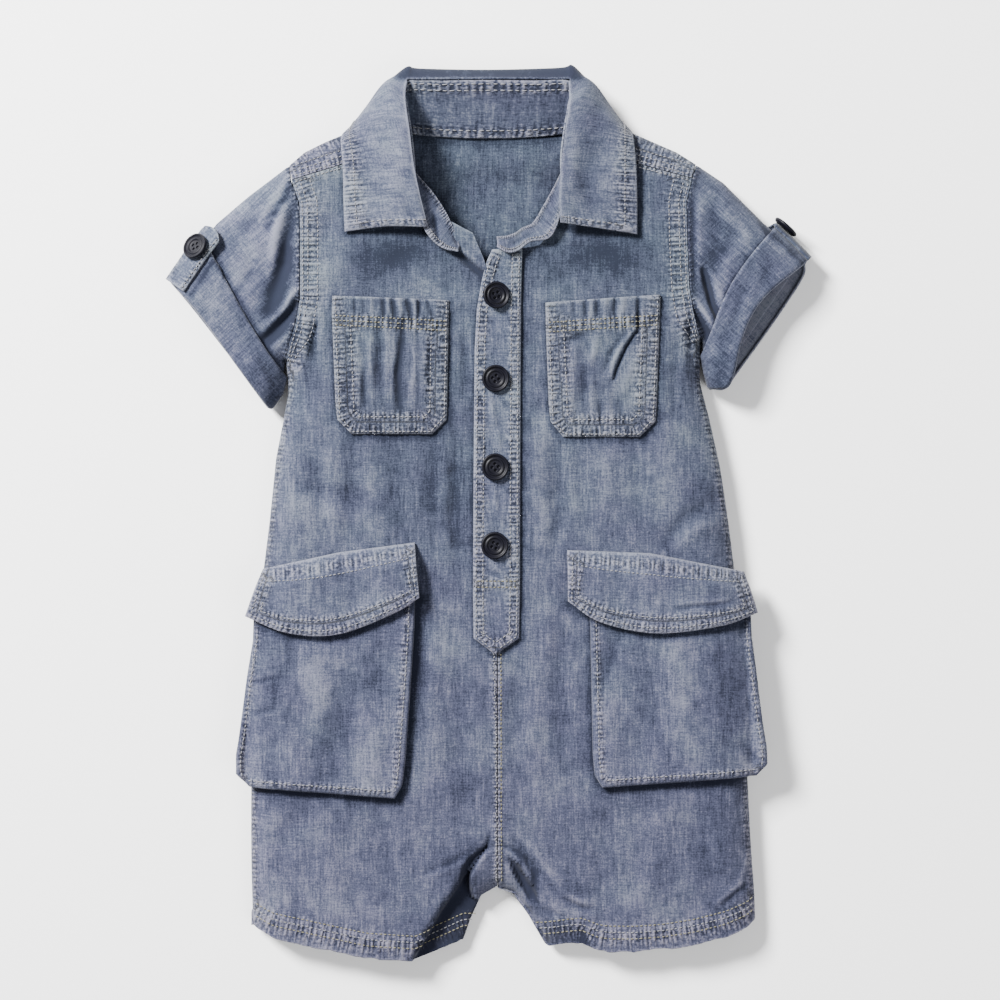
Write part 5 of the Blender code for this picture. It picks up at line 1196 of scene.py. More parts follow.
# ---- collar ------------------------------------------------------------------
# Stand, from the left front end round the back: neck seam and upper edge.
STAND = [
    (-15.9, 147.0, 20.8, -16.4, 143.9, 22.0), (-18.4, 153.5, 20.8, -24.5, 145.0, 22.8),
    (-21.0, 160.5, 20.8, -32.0, 150.5, 23.4), (-24.5, 167.0, 20.8, -36.2, 158.0, 23.8),
    (-31.0, 176.5, 20.8, -38.5, 169.0, 24.9), (-40.0, 187.0, 20.4, -39.5, 181.0, 26.0),
    (-46.5, 197.0, 19.8, -40.3, 195.0, 26.2), (-49.0, 207.0, 17.5, -42.0, 210.0, 25.4),
    (-49.5, 213.5, 12.0, -44.4, 224.0, 23.0), (-43.0, 210.0, 7.0, -45.8, 236.8, 18.6),
    (-22.0, 208.0, 6.6, -24.0, 237.6, 17.5), (0.0, 207.5, 6.6, 0.0, 238.0, 17.5),
    (22.0, 208.0, 6.6, 24.0, 237.6, 17.5), (43.0, 210.0, 7.0, 44.8, 236.8, 18.6),
    (49.5, 213.5, 12.0, 43.4, 224.0, 23.0), (48.6, 207.0, 17.5, 41.0, 210.0, 25.4),
    (45.0, 197.0, 19.9, 39.2, 195.0, 26.0), (39.5, 186.5, 20.4, 39.4, 181.0, 26.0),
    (35.0, 177.5, 20.8, 40.0, 168.5, 25.2), (30.0, 168.5, 20.8, 38.2, 159.5, 24.4),
    (24.4, 159.4, 20.8, 33.2, 150.6, 23.6), (18.6, 156.4, 21.2, 23.0, 148.6, 23.4),
    (14.6, 153.6, 21.5, 16.4, 143.8, 23.8),
    (9.6, 151.8, 22.0, 10.6, 142.8, 23.6), (4.4, 151.4, 22.4, 5.0, 146.2, 23.4)]
# Fall, from the left leaf's front end round the back: fold, roll, middle and outer edge.
FALL = [
    (-33.0, 156.5, 25.5, -37.0, 156.2, 26.5, -57.0, 156.5, 24.5, -78.9, 154.0, 22.0),
    (-37.5, 174.5, 28.4, -42.0, 174.5, 28.8, -60.0, 173.5, 25.5, -79.6, 172.0, 22.5),
    (-40.8, 191.0, 28.8, -46.0, 191.5, 28.8, -62.0, 191.5, 25.5, -80.0, 191.0, 22.0),
    (-43.0, 209.0, 28.6, -50.0, 211.0, 28.0, -66.0, 210.0, 23.5, -81.3, 205.5, 17.5),
    (-45.0, 222.0, 26.6, -53.0, 224.5, 24.5, -67.0, 220.5, 18.5, -79.0, 211.5, 10.0),
    (-45.6, 230.5, 22.5, -56.5, 236.0, 18.0, -67.0, 226.0, 10.0, -74.0, 215.5, 2.8),
    (-45.0, 236.0, 20.6, -51.0, 241.2, 15.6, -60.0, 232.0, 7.0, -66.0, 213.0, 1.2),
    (-44.2, 238.4, 19.2, -44.6, 246.3, 13.4, -51.0, 236.0, 4.4, -54.0, 209.0, 0.3),
    (-37.0, 238.6, 18.8, -37.6, 245.2, 12.4, -40.0, 235.6, 3.6, -42.0, 207.0, 0.2),
    (0.0, 239.0, 18.5, 0.0, 244.6, 12.0, 0.0, 236.0, 3.0, 0.0, 204.5, 0.1),
    (37.0, 238.8, 18.8, 38.6, 245.6, 12.4, 41.0, 235.6, 3.6, 42.0, 207.0, 0.2),
    (44.4, 238.6, 19.2, 46.0, 247.0, 13.4, 51.0, 236.0, 4.4, 54.0, 209.0, 0.3),
    (44.4, 236.0, 20.6, 51.4, 241.4, 15.6, 60.0, 232.0, 7.0, 66.0, 213.0, 1.2),
    (44.4, 230.5, 22.5, 56.4, 236.0, 18.0, 67.0, 226.0, 10.0, 74.0, 215.5, 2.8),
    (44.0, 222.0, 26.6, 52.0, 224.5, 24.5, 66.5, 220.0, 18.5, 78.5, 211.5, 10.0),
    (42.0, 209.0, 28.6, 49.0, 211.0, 28.0, 65.0, 210.0, 23.5, 79.7, 206.5, 17.5),
    (39.8, 191.0, 28.8, 45.0, 191.5, 28.8, 62.0, 191.5, 25.5, 81.1, 191.0, 22.0),
    (38.5, 174.5, 28.4, 43.0, 174.5, 28.8, 61.0, 173.0, 25.5, 81.6, 171.5, 22.5),
    (39.3, 158.5, 26.5, 44.0, 157.8, 27.0, 61.0, 155.5, 25.0, 81.7, 152.6, 22.0)]
LEAF_CREASES = table("x0 y0 x1 y1 wide high bow", [
    (-70, 196, -62, 176, 5, -.7, 1), (-48, 206, -50, 170, 5, .6, 1), (-76, 190, -70, 186, 1.6, -.6, 0),
    (-76, 203, -68, 200, 1.6, -.6, 0), (-44, 166, -40, 160, 1.8, -.7, 0), (-62, 168, -54, 160, 4, .5, 0),
    (60, 200, 56, 178, 5, -.8, 1), (52, 182, 57, 168, 4, -.9, 0), (70, 196, 68, 174, 5, .6, 0),
    (62, 228, 60, 214, 4, -.6, 0), (70, 174, 76, 168, 2, -.5, 0), (48, 164, 50, 158, 1.6, -.6, 0),
    (66, 163, 68, 156, 1.8, -.6, 0), (-66, 162, -66, 156, 1.8, -.6, 0), (48, 204, 46, 180, 3, .6, 0)])
STAND_CREASES = table("x0 y0 x1 y1 wide high bow", [
    (-30.5, 163, -28, 151.5, 1.1, -1.6, 0), (-34, 160, -31, 150, 1.2, .8, 0),
    (-37, 182, -25, 166, 1.5, -1.0, 0),
    (-22, 158, -17, 147, 1.3, -.9, 0), (36, 176, 28, 160, 1.6, -.6, 0), (22, 152, 12, 147, 1.2, -.7, 0),
    (-36, 212, 36, 212, 2.2, -1.4, 0), (-40, 234, 40, 235, 1.6, -.9, 0), (-43, 230, -41, 205, 2.6, -1.3, 0),
    (42, 230, 40, 205, 2.6, -1.3, 0)])
FALL_LONG, FALL_WIDE = 400.0, 44.0
STAND_LONG, STAND_WIDE = 330.0, 24.0


def place_fall(u, v):
    """u runs along the collar and v across it, from the fold to the outer edge, both in mm."""
    u, v = np.asarray(u, float), np.asarray(v, float)
    rows = np.array(FALL).reshape(-1, 4, 3)
    knots = curve(rows, np.clip(u.ravel() / FALL_LONG, 0, 1))
    padded = np.concatenate([2 * knots[:, :1] - knots[:, 1:2], knots, 2 * knots[:, -1:] - knots[:, -2:-1]], 1)
    t = np.clip(v.ravel() / FALL_WIDE, 0, 1) * 3
    k = np.minimum(t.astype(int), 2)
    t = (t - k)[:, None]
    line = np.arange(len(k))
    a, b, c, d = (padded[line, k + n] for n in range(4))
    p = b + .5 * t * (c - a + t * (2 * a - 5 * b + 4 * c - d + t * (3 * (b - c) + d - a)))
    over = ease((p[:, 2] - 14) / 6)
    p[:, 2] += over * (relief(p[:, 0], p[:, 1], LEAF_CREASES) + .18 * noise(p[:, 0], p[:, 1], 9, 12))
    p[:, 2] = np.maximum(p[:, 2], .1)
    return p.reshape(u.shape + (3,))


def place_stand(u, v):
    """u runs along the stand and v straight from its neck seam to its upper edge, in mm."""
    u, v = np.asarray(u, float), np.asarray(v, float)
    rows = curve(np.array(STAND), np.clip(u.ravel() / STAND_LONG, 0, 1))
    t = np.clip(v.ravel() / STAND_WIDE, 0, 1)[:, None]
    p = (1 - t) * rows[:, :3] + t * rows[:, 3:]
    p[:, 2] += .8 * relief(p[:, 0], p[:, 1], STAND_CREASES) * ease((190 - p[:, 1]) / 14)
    return p.reshape(u.shape + (3,))


def make_fall():
    """The collar's fall: place_fall over a grid, rounded down at its free edges."""
    near = np.array([0, .5, 1.2])
    u = np.concatenate([near, np.linspace(2.2, FALL_LONG - 2.2, 300), FALL_LONG - near[::-1]])
    v = np.concatenate([np.linspace(0, FALL_WIDE - 2, 38), FALL_WIDE - near[::-1]])
    u, v = np.meshgrid(u, v, indexing="ij")
    points = place_fall(u, v)
    ends = [[(off, 3), (off, FALL_WIDE - 6)] for off in (3.0, FALL_LONG - 3.0)]
    along = [(3.5, FALL_WIDE - 4.5), (FALL_LONG - 3.5, FALL_WIDE - 4.5)]
    lines = [(ends[0], 2.2), (along, 4.0), (ends[1], 2.2)]
    run, _, band = seam_map(u, v, lines)
    puff = .30 * band * ripple(run, 4.4, 41)
    end = np.minimum(np.minimum(u, FALL_LONG - u), FALL_WIDE - v)
    points[..., 2] += (puff - .5 * np.exp(-(end / .7) ** 2)) * ease((points[..., 2] - 15) / 6)
    facing = np.array([0, 0, 1.0]) * ease((points[..., 2] - 18) / 4)[..., None] + 1e-3
    x, y = points[..., 0], points[..., 1]
    # Painted light on the left leaf; painted shade on the fall's strip behind the neck and along the right
    # leaf's fold over the front.
    tone = crease_wear_and_shade(x, y, LEAF_CREASES) + .10 * noise(x, y, 14, 93) + np.where(x < 0, .30, .0)
    behind = ease((y - 236) / 4) * ease((56 - np.abs(x)) / 8)
    tone = tone - .9 * behind - 1.0 * np.exp(-(v / 2.2) ** 2) * ease((220 - y) / 20) * (x > 0)
    made = cloth("collar_fall_cloth",
                 [shell(points, facing, wall=1.3, uv=np.stack([u, v], -1), lines=lines, tone=tone, rim=1.2,
                        shade=.5 * behind, inside=.6)], COLLAR, ["collar_fall"])
    inner = [(4.6, 2), (4.6, FALL_WIDE - 4.8)]
    sew(place_fall, inner, "pale", 2.3)
    sew(place_fall, [(FALL_LONG - x, y) for x, y in inner], "pale", 2.3)
    for start, end in ((4.6, 98.0), (FALL_LONG - 98.0, FALL_LONG - 4.6)):
        line = np.stack([np.linspace(start, end, 40), np.full(40, FALL_WIDE - 4.8)], -1)
        sew(place_fall, line, "pale", 2.5)
    return made


def make_stand():
    """The collar's stand: place_stand over a grid, with a rolled and wavy front rim."""
    u = np.linspace(0, STAND_LONG, 230)
    near = np.array([0, .5, 1.2])
    v = np.concatenate([near, np.linspace(2, STAND_WIDE - 2, 16), STAND_WIDE - near[::-1]])
    u, v = np.meshgrid(u, v, indexing="ij")
    points = place_stand(u, v)
    lines = [([(3, 2.2), (STAND_LONG - 3, 2.2)], 2.6),
             ([(3, STAND_WIDE - 3), (STAND_LONG - 3, STAND_WIDE - 3)], 2.8)]
    run, _, band = seam_map(u, v, [(at(line, np.linspace(0, 1, 24)), wide) for line, wide in lines])
    points[..., 2] += .25 * band * ripple(run, 4.6, 47)
    front = np.minimum(u, STAND_LONG - u)
    rim = np.exp(-((STAND_WIDE - v) / 2.2) ** 2) * ease(1 - front / 55)
    points[..., 2] += 1.1 * rim + .6 * ease(1 - front / 60) * noise(u, v, 9, 44)
    facing = np.array([0, 190, 40.0]) - points
    x, y = points[..., 0], points[..., 1]
    tone = .12 * noise(u, v, 8, 94) - .16 + crease_wear_and_shade(x, y, STAND_CREASES)
    made = cloth("collar_stand_cloth",
                 [shell(points, facing, uv=np.stack([u, v], -1), lines=lines, tone=tone, rim=1.3)],
                 COLLAR, ["collar_stand"])
    for at_v in (3.2, STAND_WIDE - 4.2, STAND_WIDE - 1.6):
        line = np.stack([np.linspace(120, 210, 60), np.full(60, at_v)], -1)
        sew(place_stand, line, "pale", 2.3)
    for start, end in ((3, 34), (STAND_LONG - 60, STAND_LONG - 3)):
        line = np.stack([np.linspace(start, end, 30), np.full(30, STAND_WIDE - 4.5)], -1)
        sew(place_stand, line, "pale", 2.2)
    return made


# ---- pieces laid on the fronts -----------------------------------------------
PLACKET = table("y left right", [
    (144.5, 2.0, 18.6), (138, -1, 18.5), (128, -3.6, 18.2), (112, -6.4, 17.9), (90, -7.6, 17.8),
    (50, -8, 17.6), (0, -8.3, 17.4), (-45, -8.5, 17.3), (-69, -8.2, 16.8), (-77.5, 3.0, 4.4)])
BUTTONS_Y = (121.0, 73.5, 25.0, -18.0)
BUTTONHOLE_X, BUTTONHOLE_HALF = 4, 10.4      # its middle, and half its length


def edge_drop(distance, deep=.7, soft=.7):
    """A laid piece rounds down to the cloth under it at its edges."""
    return -deep * np.exp(-(distance / soft) ** 2)


def placket_z(x, y):
    """Height of the placket: the smooth front with the placket's own creases on it."""
    base = smooth_front_z(x, y) + LAY + WALL + .25
    fine = .12 * noise(x, y, 5, 51) + .08 * noise(x, y, 2.6, 52)
    return base + fine + relief(x, y, PLACKET_CREASES)


def make_placket():
    """The placket: placket_z between its two edges, with a pointed lower end."""
    y = np.concatenate([144.5 - np.array([0, .5, 1.2]), np.linspace(142.5, -68.2, 172),
                        np.linspace(-69, -77.5, 12)])
    left, right = (np.interp(-y, -PLACKET["y"], PLACKET[k]) for k in ("left", "right"))
    share = np.concatenate([[0, .02, .045, .08], np.linspace(.12, .88, 26), [.92, .955, .98, 1]])
    x = left[:, None] + share * (right - left)[:, None]
    yy = np.repeat(y[:, None], len(share), 1)
    edge = [(PLACKET["left"][k], PLACKET["y"][k]) for k in range(10)]
    other = [(PLACKET["right"][k], PLACKET["y"][k]) for k in range(10)]
    lines = [(inset(edge, 3.4), 3.4), (inset(other, -3.4), 3.4), ([(-8, -39), (17, -39)], 2.4)]
    run, _, band = seam_map(x, yy, lines)
    z = placket_z(x, yy) + .42 * band * ripple(run, 2.9, 53)
    width = (right - left)[:, None]
    away = np.minimum(share * width, (1 - share) * width)
    z = z + edge_drop(np.minimum(away, yy + 78.2))
    points = np.stack([x, yy, z], -1)
    tone = crease_wear_and_shade(x, yy, PLACKET_CREASES) + .12 * noise(x, yy, 8, 95)
    made = cloth("placket_cloth",
                 [shell(points, (0, 0, 1.0), uv=points[..., :2], lines=lines, tone=tone, rim=1.2)],
                 TRIM, ["placket"])

    def place(x, y):
        """Points of the outer face over places on it."""
        return np.stack([x, y, placket_z(x, y)], -1)

    for line, way in ((edge, 1), (other, -1)):
        for off in (1.6, 5.4):
            sew(place, inset(line, way * off)[2:-3], "pale", 2.3)
    for y_at in (-37.6, -41.0):
        sew(place, [(-6.5, y_at), (15.5, y_at)], "khaki", 2.2)
    for y_at in BUTTONS_Y:
        for off in (-.9, .9):
            sew(place, [(BUTTONHOLE_X + off, y_at + BUTTONHOLE_HALF),
                        (BUTTONHOLE_X + off, y_at - BUTTONHOLE_HALF)], "blue", 1.1, .22, .22)
    return made


CHEST = {
    -1: dict(name="left", rows=table("y low high", [
        (119, -85.8, -21.5), (108, -86, -21.8), (60, -84, -22.6), (51, -83, -22.8), (43, -75, -31)]),
        tilt=(0, -2.5)),
    1: dict(name="right", rows=table("y low high", [
        (119.5, 31.2, 94.4), (108, 31.4, 94.2), (60, 33, 92.4), (50, 34, 91.8), (41.5, 41, 83)]),
        tilt=(-3.8, .6)),
}


def make_chest(side):
    """A chest pocket: laid on the smooth front and puffed out towards its open top."""
    spec = CHEST[side]
    rows = spec["rows"]
    foot = rows["y"][-1]
    y = np.concatenate([119 - np.array([0, .5, 1.2]), np.linspace(117, foot + 9.5, 72),
                        np.linspace(foot + 9, foot + 1.6, 9), foot + np.array([1.0, .4, 0])])
    low, high = (np.interp(-y, -rows["y"], rows[k]) for k in ("low", "high"))
    share = np.concatenate([[0, .007, .018], np.linspace(.035, .965, 70), [.982, .993, 1]])
    x = low[:, None] + share * (high - low)[:, None]
    tilt = spec["tilt"][0] + share * (spec["tilt"][1] - spec["tilt"][0])
    yy = y[:, None] + tilt * ease((y[:, None] - 60) / 55)
    outline = [(low[0], 118.2 + spec["tilt"][0]), (low[75], y[75]), (low[-1], foot), (high[-1], foot),
               (high[75], y[75]), (high[0], 118.2 + spec["tilt"][1])]
    outline = np.array(outline)
    inner = inset(outline, 9.5, 3)
    inner = inner[(inner[:, 1] < 106)]
    rim = inset(outline, 1.7, 3)
    band_line = [(low[0] + 1.5, 105.5 + spec["tilt"][0]), (high[0] - 1.5, 105.0 + spec["tilt"][1])]
    lines = [(rim, 5.2), (inner, 3.2), (band_line, 4.2)]
    run, _, band = seam_map(x, yy, lines)
    down = np.clip(1 - (y - foot) / (119 - foot), 0, 1)[:, None]
    puff = 1.6 * np.sin(math.pi * share) ** .7 * np.maximum(np.cos(down * math.pi / 2), 0) ** .6

    def height(x, y):
        """Height of its cloth over plan places."""
        base = smooth_front_z(x, y) + LAY + WALL + .25
        return base + relief(x, y, POCKET_CREASES) + .14 * noise(x, y, 5, 61) + .08 * noise(x, y, 2.5, 62)

    top_open = np.exp(-((119 - y[:, None]) / 5) ** 2)
    z = height(x, yy) + puff + .5 * band * ripple(run, 3.7, 63 + side)
    z = z + .5 * top_open * noise(x, yy, 7, 65)
    width = (high - low)[:, None]
    away = np.minimum(np.minimum(share * width, (1 - share) * width), y[:, None] - foot)
    z = z + edge_drop(away, .8, .7)
    points = np.stack([x, yy, z], -1)
    tone = 1.4 * crease_wear_and_shade(x, yy, POCKET_CREASES) + .16 * noise(x, yy, 11, 96) + .12 * side - .14
    made = cloth("chest_pocket_" + spec["name"] + "_cloth",
                 [shell(points, (0, 0, 1.0), uv=points[..., :2], lines=lines, tone=tone, rim=1.2)], POCKET,
                 ["chest_pocket_" + spec["name"]])

    def place(u, v):
        """Points of the outer face over places on it."""
        share_at = np.clip((u - outline[0, 0]) / (outline[-1, 0] - outline[0, 0]), .02, .98)
        down = np.clip(1 - (v - foot) / (119 - foot), 0, 1)
        lift = 1.6 * np.sin(math.pi * share_at) ** .7 * np.maximum(np.cos(down * math.pi / 2), 0) ** .6
        return np.stack([u, v, height(u, v) + lift], -1)

    sew(place, inset(outline, 1.5), "pale", 2.3)
    sew(place, inset(inner, 0), "pale", 2.3)
    for drop in (0, 2.6, 5.2):
        line = np.array(band_line) + [0, 2.6 - drop]
        sew(place, line, "khaki", 2.1)
    return made


CARGO = {
    -1: dict(name="left", body=table("y inner outer", [
        (-40, -40.2, -129.5), (-62, -40.6, -130), (-100, -43, -134.5),
        (-136, -45.6, -139.2), (-149, -47.4, -139.2), (-156, -51.5, -132)]), slant=12.5,
        flap_top=[(-40.4, -16.4), (-82, -21.8), (-124.4, -31)],
        flap_low=[(-37.6, -46.5), (-51.4, -55), (-81.7, -66.5), (-109.2, -66), (-133.9, -57)]),
    1: dict(name="right", body=table("y inner outer", [
        (-40, 54.6, 144.2), (-62, 55.8, 145), (-100, 56.6, 149),
        (-132, 57.2, 153.2), (-143.5, 58.4, 153.6), (-150, 62.5, 147.5)]), slant=9.0,
        flap_top=[(43.2, -20.6), (88.8, -22.3), (141, -32.5)],
        flap_low=[(43.4, -48.5), (61.3, -60), (91.6, -66), (127.3, -62), (148.2, -55)]),
}


def side_line(y, side):
    """Where the body's side lies at y."""
    panel = FRONTS[side]["panel"]
    return np.interp(-y, -panel["outer_y"], panel["outer_x"])


def cover(x, y, side):
    """Height of a stiff laid piece: level over the body, drooping past its side."""
    beyond = side * (x - side_line(y, side)) + DROOP_FROM
    level = level_height(y) - DROOP * np.maximum(beyond, 0) ** 2
    on_body = smooth_front_z(x, y)
    inside = beyond < DROOP_FROM
    return np.where(inside, np.maximum(level, on_body), level), inside, on_body


def cargo_plan(spec, side, y, offset):
    """Plan places of a cargo pocket: offset goes from its inner edge at 0 to its outer edge at 1.

    Its top slants down outwards and its bottom edge slants up.
    """
    inner, outer = read(spec["body"], y, "inner", "outer")
    x = inner + side * offset * np.abs(outer - inner)
    slanted = y - spec["slant"] * offset * ease((y + 100) / 60)
    return x, slanted + (6 * offset - 1) * ease((y - spec["body"]["y"][-1]) / -30 + 1.2)


def cargo_line(spec, side, y, offset):
    """The same places as points of a line."""
    return np.stack(cargo_plan(spec, side, y, offset), -1)


def cargo_z(x, y, side):
    """Height of a cargo pocket's face: its stiff cover, its lift and its creases."""
    level, _, on_body = cover(x, y, side)
    fine = .25 * noise(x, y, 14, 71) + .12 * noise(x, y, 5, 72)
    return np.maximum(level, on_body) + CARGO_LIFT + relief(x, y, CARGO_CREASES) + fine


def make_cargo(side):
    """A cargo pocket: its face, which falls to the body along three edges as a side wall."""
    spec = CARGO[side]
    bottom = spec["body"]["y"][-1]
    turn = np.array([0, 0, .12, .45, 1.0, 1.7, 2.6, 3.6])
    fall = np.array([1, .55, .30, .15, .07, .03, .01, 0])
    y = np.concatenate([np.linspace(-40, bottom + 4.6, 84), bottom + turn[::-1]])
    row_fall = np.concatenate([np.zeros(84), fall[::-1]])
    width = 92.0
    near = turn / width
    off = np.concatenate([near, np.linspace(4.6 / width, 1 - 4.6 / width, 70), 1 - near[::-1]])
    column_fall = np.concatenate([fall, np.zeros(70), fall[::-1]])
    x, yy = cargo_plan(spec, side, y[:, None], off[None])
    _, inside, on_body = cover(x, yy, side)
    near_side = ease(1 + side * (x - side_line(yy, side)) / DROOP_FROM)
    foot = np.where(inside, on_body + LAY + 3 * near_side, edge_height(yy) + 2)
    share = np.maximum(column_fall[None], row_fall[:, None])
    path = [(.034, -44), (.034, bottom + 5), (.10, bottom + 3.4), (.96, bottom + 3.4)]
    inner_line = cargo_line(spec, side, *np.array(path)[:, ::-1].T)
    outer_edge = cargo_line(spec, side, np.linspace(-44, bottom + 6, 12), .97)
    lines = [(inner_line, 1.9), (outer_edge, 1.6)]
    run, _, band = seam_map(x, yy, lines)
    top = cargo_z(x, yy, side) + .30 * band * ripple(run, 4.3, 73 + side) * (1 - share)
    z = top - share * (top - foot)
    points = np.stack([x, yy, z], -1)
    outwards = side * np.sign(off - .5) * column_fall
    flat = np.stack([x + outwards * (top - foot), yy - row_fall[:, None] * (top - foot)], -1)
    # Painted shadow of the flap on the pocket.
    flap_shadow = painted_shadow(x, yy, [curve(spec["flap_low"], np.linspace(0, 1, 22))], 3.0)
    tone = 1.5 * crease_wear_and_shade(x, yy, CARGO_CREASES) + 1.1 * flap_shadow
    tone = tone + .26 * noise(x, yy, 22, 97) + .16 * noise(x, yy, 9, 98)
    made = cloth("cargo_pocket_" + spec["name"] + "_cloth",
                 [shell(points, (0, 0, 1.0), uv=flat, lines=lines, tone=tone, rim=1.5)], LEGS,
                 ["cargo_pocket_" + spec["name"]])

    def place(u, v):
        """Points of the outer face over places on it."""
        return np.stack([u, v, cargo_z(u, v, side)], -1)

    for y_at, offset in ((np.linspace(-46, bottom + 5.5, 30), .036),
                         (bottom + 4.0, np.linspace(.05, .955, 40)),
                         (np.linspace(-58, bottom + 6, 30), .968)):
        sew(place, cargo_line(spec, side, y_at, offset), "pale", 2.4)
    return made


def make_flap(side):
    """A cargo flap: ruled from its seam to its bowed lower edge, rising over the pocket."""
    spec = CARGO[side]
    share = np.concatenate([[0, .006, .014], np.linspace(.028, .972, 84), [.986, .994, 1]])
    down = np.concatenate([[0, .02, .05], np.linspace(.09, .93, 34), [.955, .975, .99, 1]])
    top, low = at(spec["flap_top"], share), curve(spec["flap_low"], share)
    plan = (1 - down[:, None, None]) * top + down[:, None, None] * low
    x, y = plan[..., 0], plan[..., 1]

    def border(a, b):
        """Plan points by share along the flap (a) and down it (b)."""
        return (1 - b)[:, None] * at(spec["flap_top"], a) + b[:, None] * curve(spec["flap_low"], a)

    def height(x, y):
        """Height of its cloth over plan places."""
        level, inside, on_body = cover(x, y, side)
        base = np.where(inside, np.maximum(level, on_body), level)
        seam_x, seam_y = np.array(spec["flap_top"]).T
        seam_y = np.interp(side * x, side * seam_x, seam_y)
        rise = (CARGO_LIFT + WALL + LAY + .5) * ease((seam_y - y + 1) / 13)
        fine = .18 * noise(x, y, 9, 81) + .1 * noise(x, y, 4, 82)
        return base + LAY + WALL + rise + relief(x, y, CARGO_CREASES) + fine

    step = np.linspace(.025, .975, 20)
    ring = np.concatenate([border(np.full(5, .030), np.linspace(.12, .88, 5)),
                           border(step, np.full(20, .93)),
                           border(np.full(5, .970), np.linspace(.88, .12, 5))])
    ring_in = np.concatenate([border(np.full(5, .075), np.linspace(.2, .76, 5)),
                              border(np.linspace(.08, .92, 20), np.full(20, .80)),
                              border(np.full(5, .925), np.linspace(.76, .2, 5))])
    head = border(step, np.full(20, .15))
    lines = [(ring, 3.2), (ring_in, 2.0), (head, 3.0)]
    run, _, band = seam_map(x, y, lines)
    z = height(x, y) + .32 * band * ripple(run, 4.1, 83 + side)
    ends = np.minimum(share, 1 - share) * 95
    away = np.minimum(ends[None], (1 - down)[:, None] * 34)
    z = z + edge_drop(away, .6, .7)
    z[:3] -= np.array([.5, .2, .05])[:, None]
    points = np.stack([x, y, z], -1)
    tone = crease_wear_and_shade(x, y, CARGO_CREASES) + .14 * noise(x, y, 16, 99)
    made = cloth("cargo_flap_" + spec["name"] + "_cloth",
                 [shell(points, (0, 0, 1.0), wall=1.3, uv=plan, lines=lines, tone=tone, rim=1.5)], LEGS,
                 ["cargo_flap_" + spec["name"]])

    def place(u, v):
        """Points of the outer face over places on it."""
        return np.stack([u, v, height(u, v)], -1)

    sew(place, ring, "pale", 2.3)
    sew(place, ring_in[2:-3], "pale", 2.3)
    sew(place, border(np.linspace(.05, .95, 20), np.full(20, .26)), "pale", 2.3)
    return made


# ---- buttons -----------------------------------------------------------------
BUTTON_SECTION = table("r z", [
    (0, .75), (.44, .75), (.50, .95), (.55, 1.42), (.59, 1.52), (.64, 1.38), (.69, .95), (.75, .95),
    (.82, 1.65), (.88, 2.02), (.93, 2.0), (.98, 1.6), (1.0, 1.1), (.98, .6), (.92, .1), (.72, -.5),
    (.4, -.6), (0, -.6)])


def close_doubles(made):
    """Merges the first and last spoke of a turned mesh, and the points at its poles."""
    shape = bmesh.new()
    shape.from_mesh(made.data)
    bmesh.ops.remove_doubles(shape, verts=shape.verts, dist=1e-7)
    shape.to_mesh(made.data)
    shape.free()


def button(node, at_point, normal, turn):
    """A turned disc: rings of the section carried round its axis, sunk at the four thread holes."""
    radius = BUTTON / 2
    inner = np.linspace(0, .44, 20)
    r = np.concatenate([inner, BUTTON_SECTION["r"][2:]]) * radius
    z = np.concatenate([np.full(20, .75), BUTTON_SECTION["z"][2:]])
    angle = np.linspace(0, 2 * math.pi, 65)
    x, y = r[:, None] * np.cos(angle), r[:, None] * np.sin(angle)
    hole = np.hypot(np.abs(x) - 1.25, np.abs(y) - 1.25)
    top = (np.arange(len(r)) < 20)[:, None]
    height = z[:, None] - top * ease((.85 - hole) / .35)
    local = np.stack([x, y, height], -1)
    w = unit(np.array(normal, float))
    across = unit(np.cross([0, 1.0, .01], w))
    up = np.cross(w, across)
    u = math.cos(turn) * across + math.sin(turn) * up
    v = np.cross(w, u)
    points = np.array(at_point) + local[..., :1] * u + local[..., 1:2] * v + local[..., 2:] * w
    grid = np.arange(points.shape[0] * points.shape[1]).reshape(points.shape[:2])
    quads = np.stack([grid[:-1, :-1], grid[1:, :-1], grid[1:, 1:], grid[:-1, 1:]], -1).reshape(-1, 4)
    flat = points.reshape(-1, 3)
    none = np.zeros((len(flat), 3))
    made = new_mesh(node + "_horn", flat, quads, flat[:, :2], none, none, HORN, "button")
    close_doubles(made)
    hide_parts(node)


def node_centre(name):
    """The middle of a CAD node's box, in millimetres."""
    low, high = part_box(name)
    return (np.array(low) + np.array(high)) / 2 / MM


def make_buttons():
    """Buttons at their nodes' places: four on the placket, the first one leaning, one on each tab."""
    sunk = .6
    for number in range(1, len(BUTTONS_Y) + 1):
        first = number == 1
        lean = np.array([.22 * first + .02, .03 * (number % 2), 1.0])
        centre = node_centre(f"button_{number}") - np.array([0, 1.8 * first, 0])
        button(f"button_{number}", centre - unit(lean) * sunk, lean, .3 * number)
    for side, spec in SLEEVES.items():
        _, n = tab_point(spec, np.array([spec["button_at"]]), np.array([spec["button_across"]]))
        normal = n[0] if side < 0 else unit(np.array([n[0][0], n[0][1], .02]))
        node = "tab_button_" + spec["name"]
        button(node, node_centre(node) - unit(normal) * sunk, normal, .4)


# ---- everything --------------------------------------------------------------
for side in (-1, 1):
    name = FRONTS[side]["name"]
    make_front(side)
    make_back(side)
    make_sleeve(side)
    make_cuff(side)
    make_tab(side)
    make_chest(side)
    make_cargo(side)
    make_flap(side)
make_yoke()
make_fall()
make_stand()
make_placket()
make_buttons()
for tone, finish in (("pale", PALE), ("khaki", KHAKI), ("blue", BLUE)):
    finish_stitches(tone, finish)

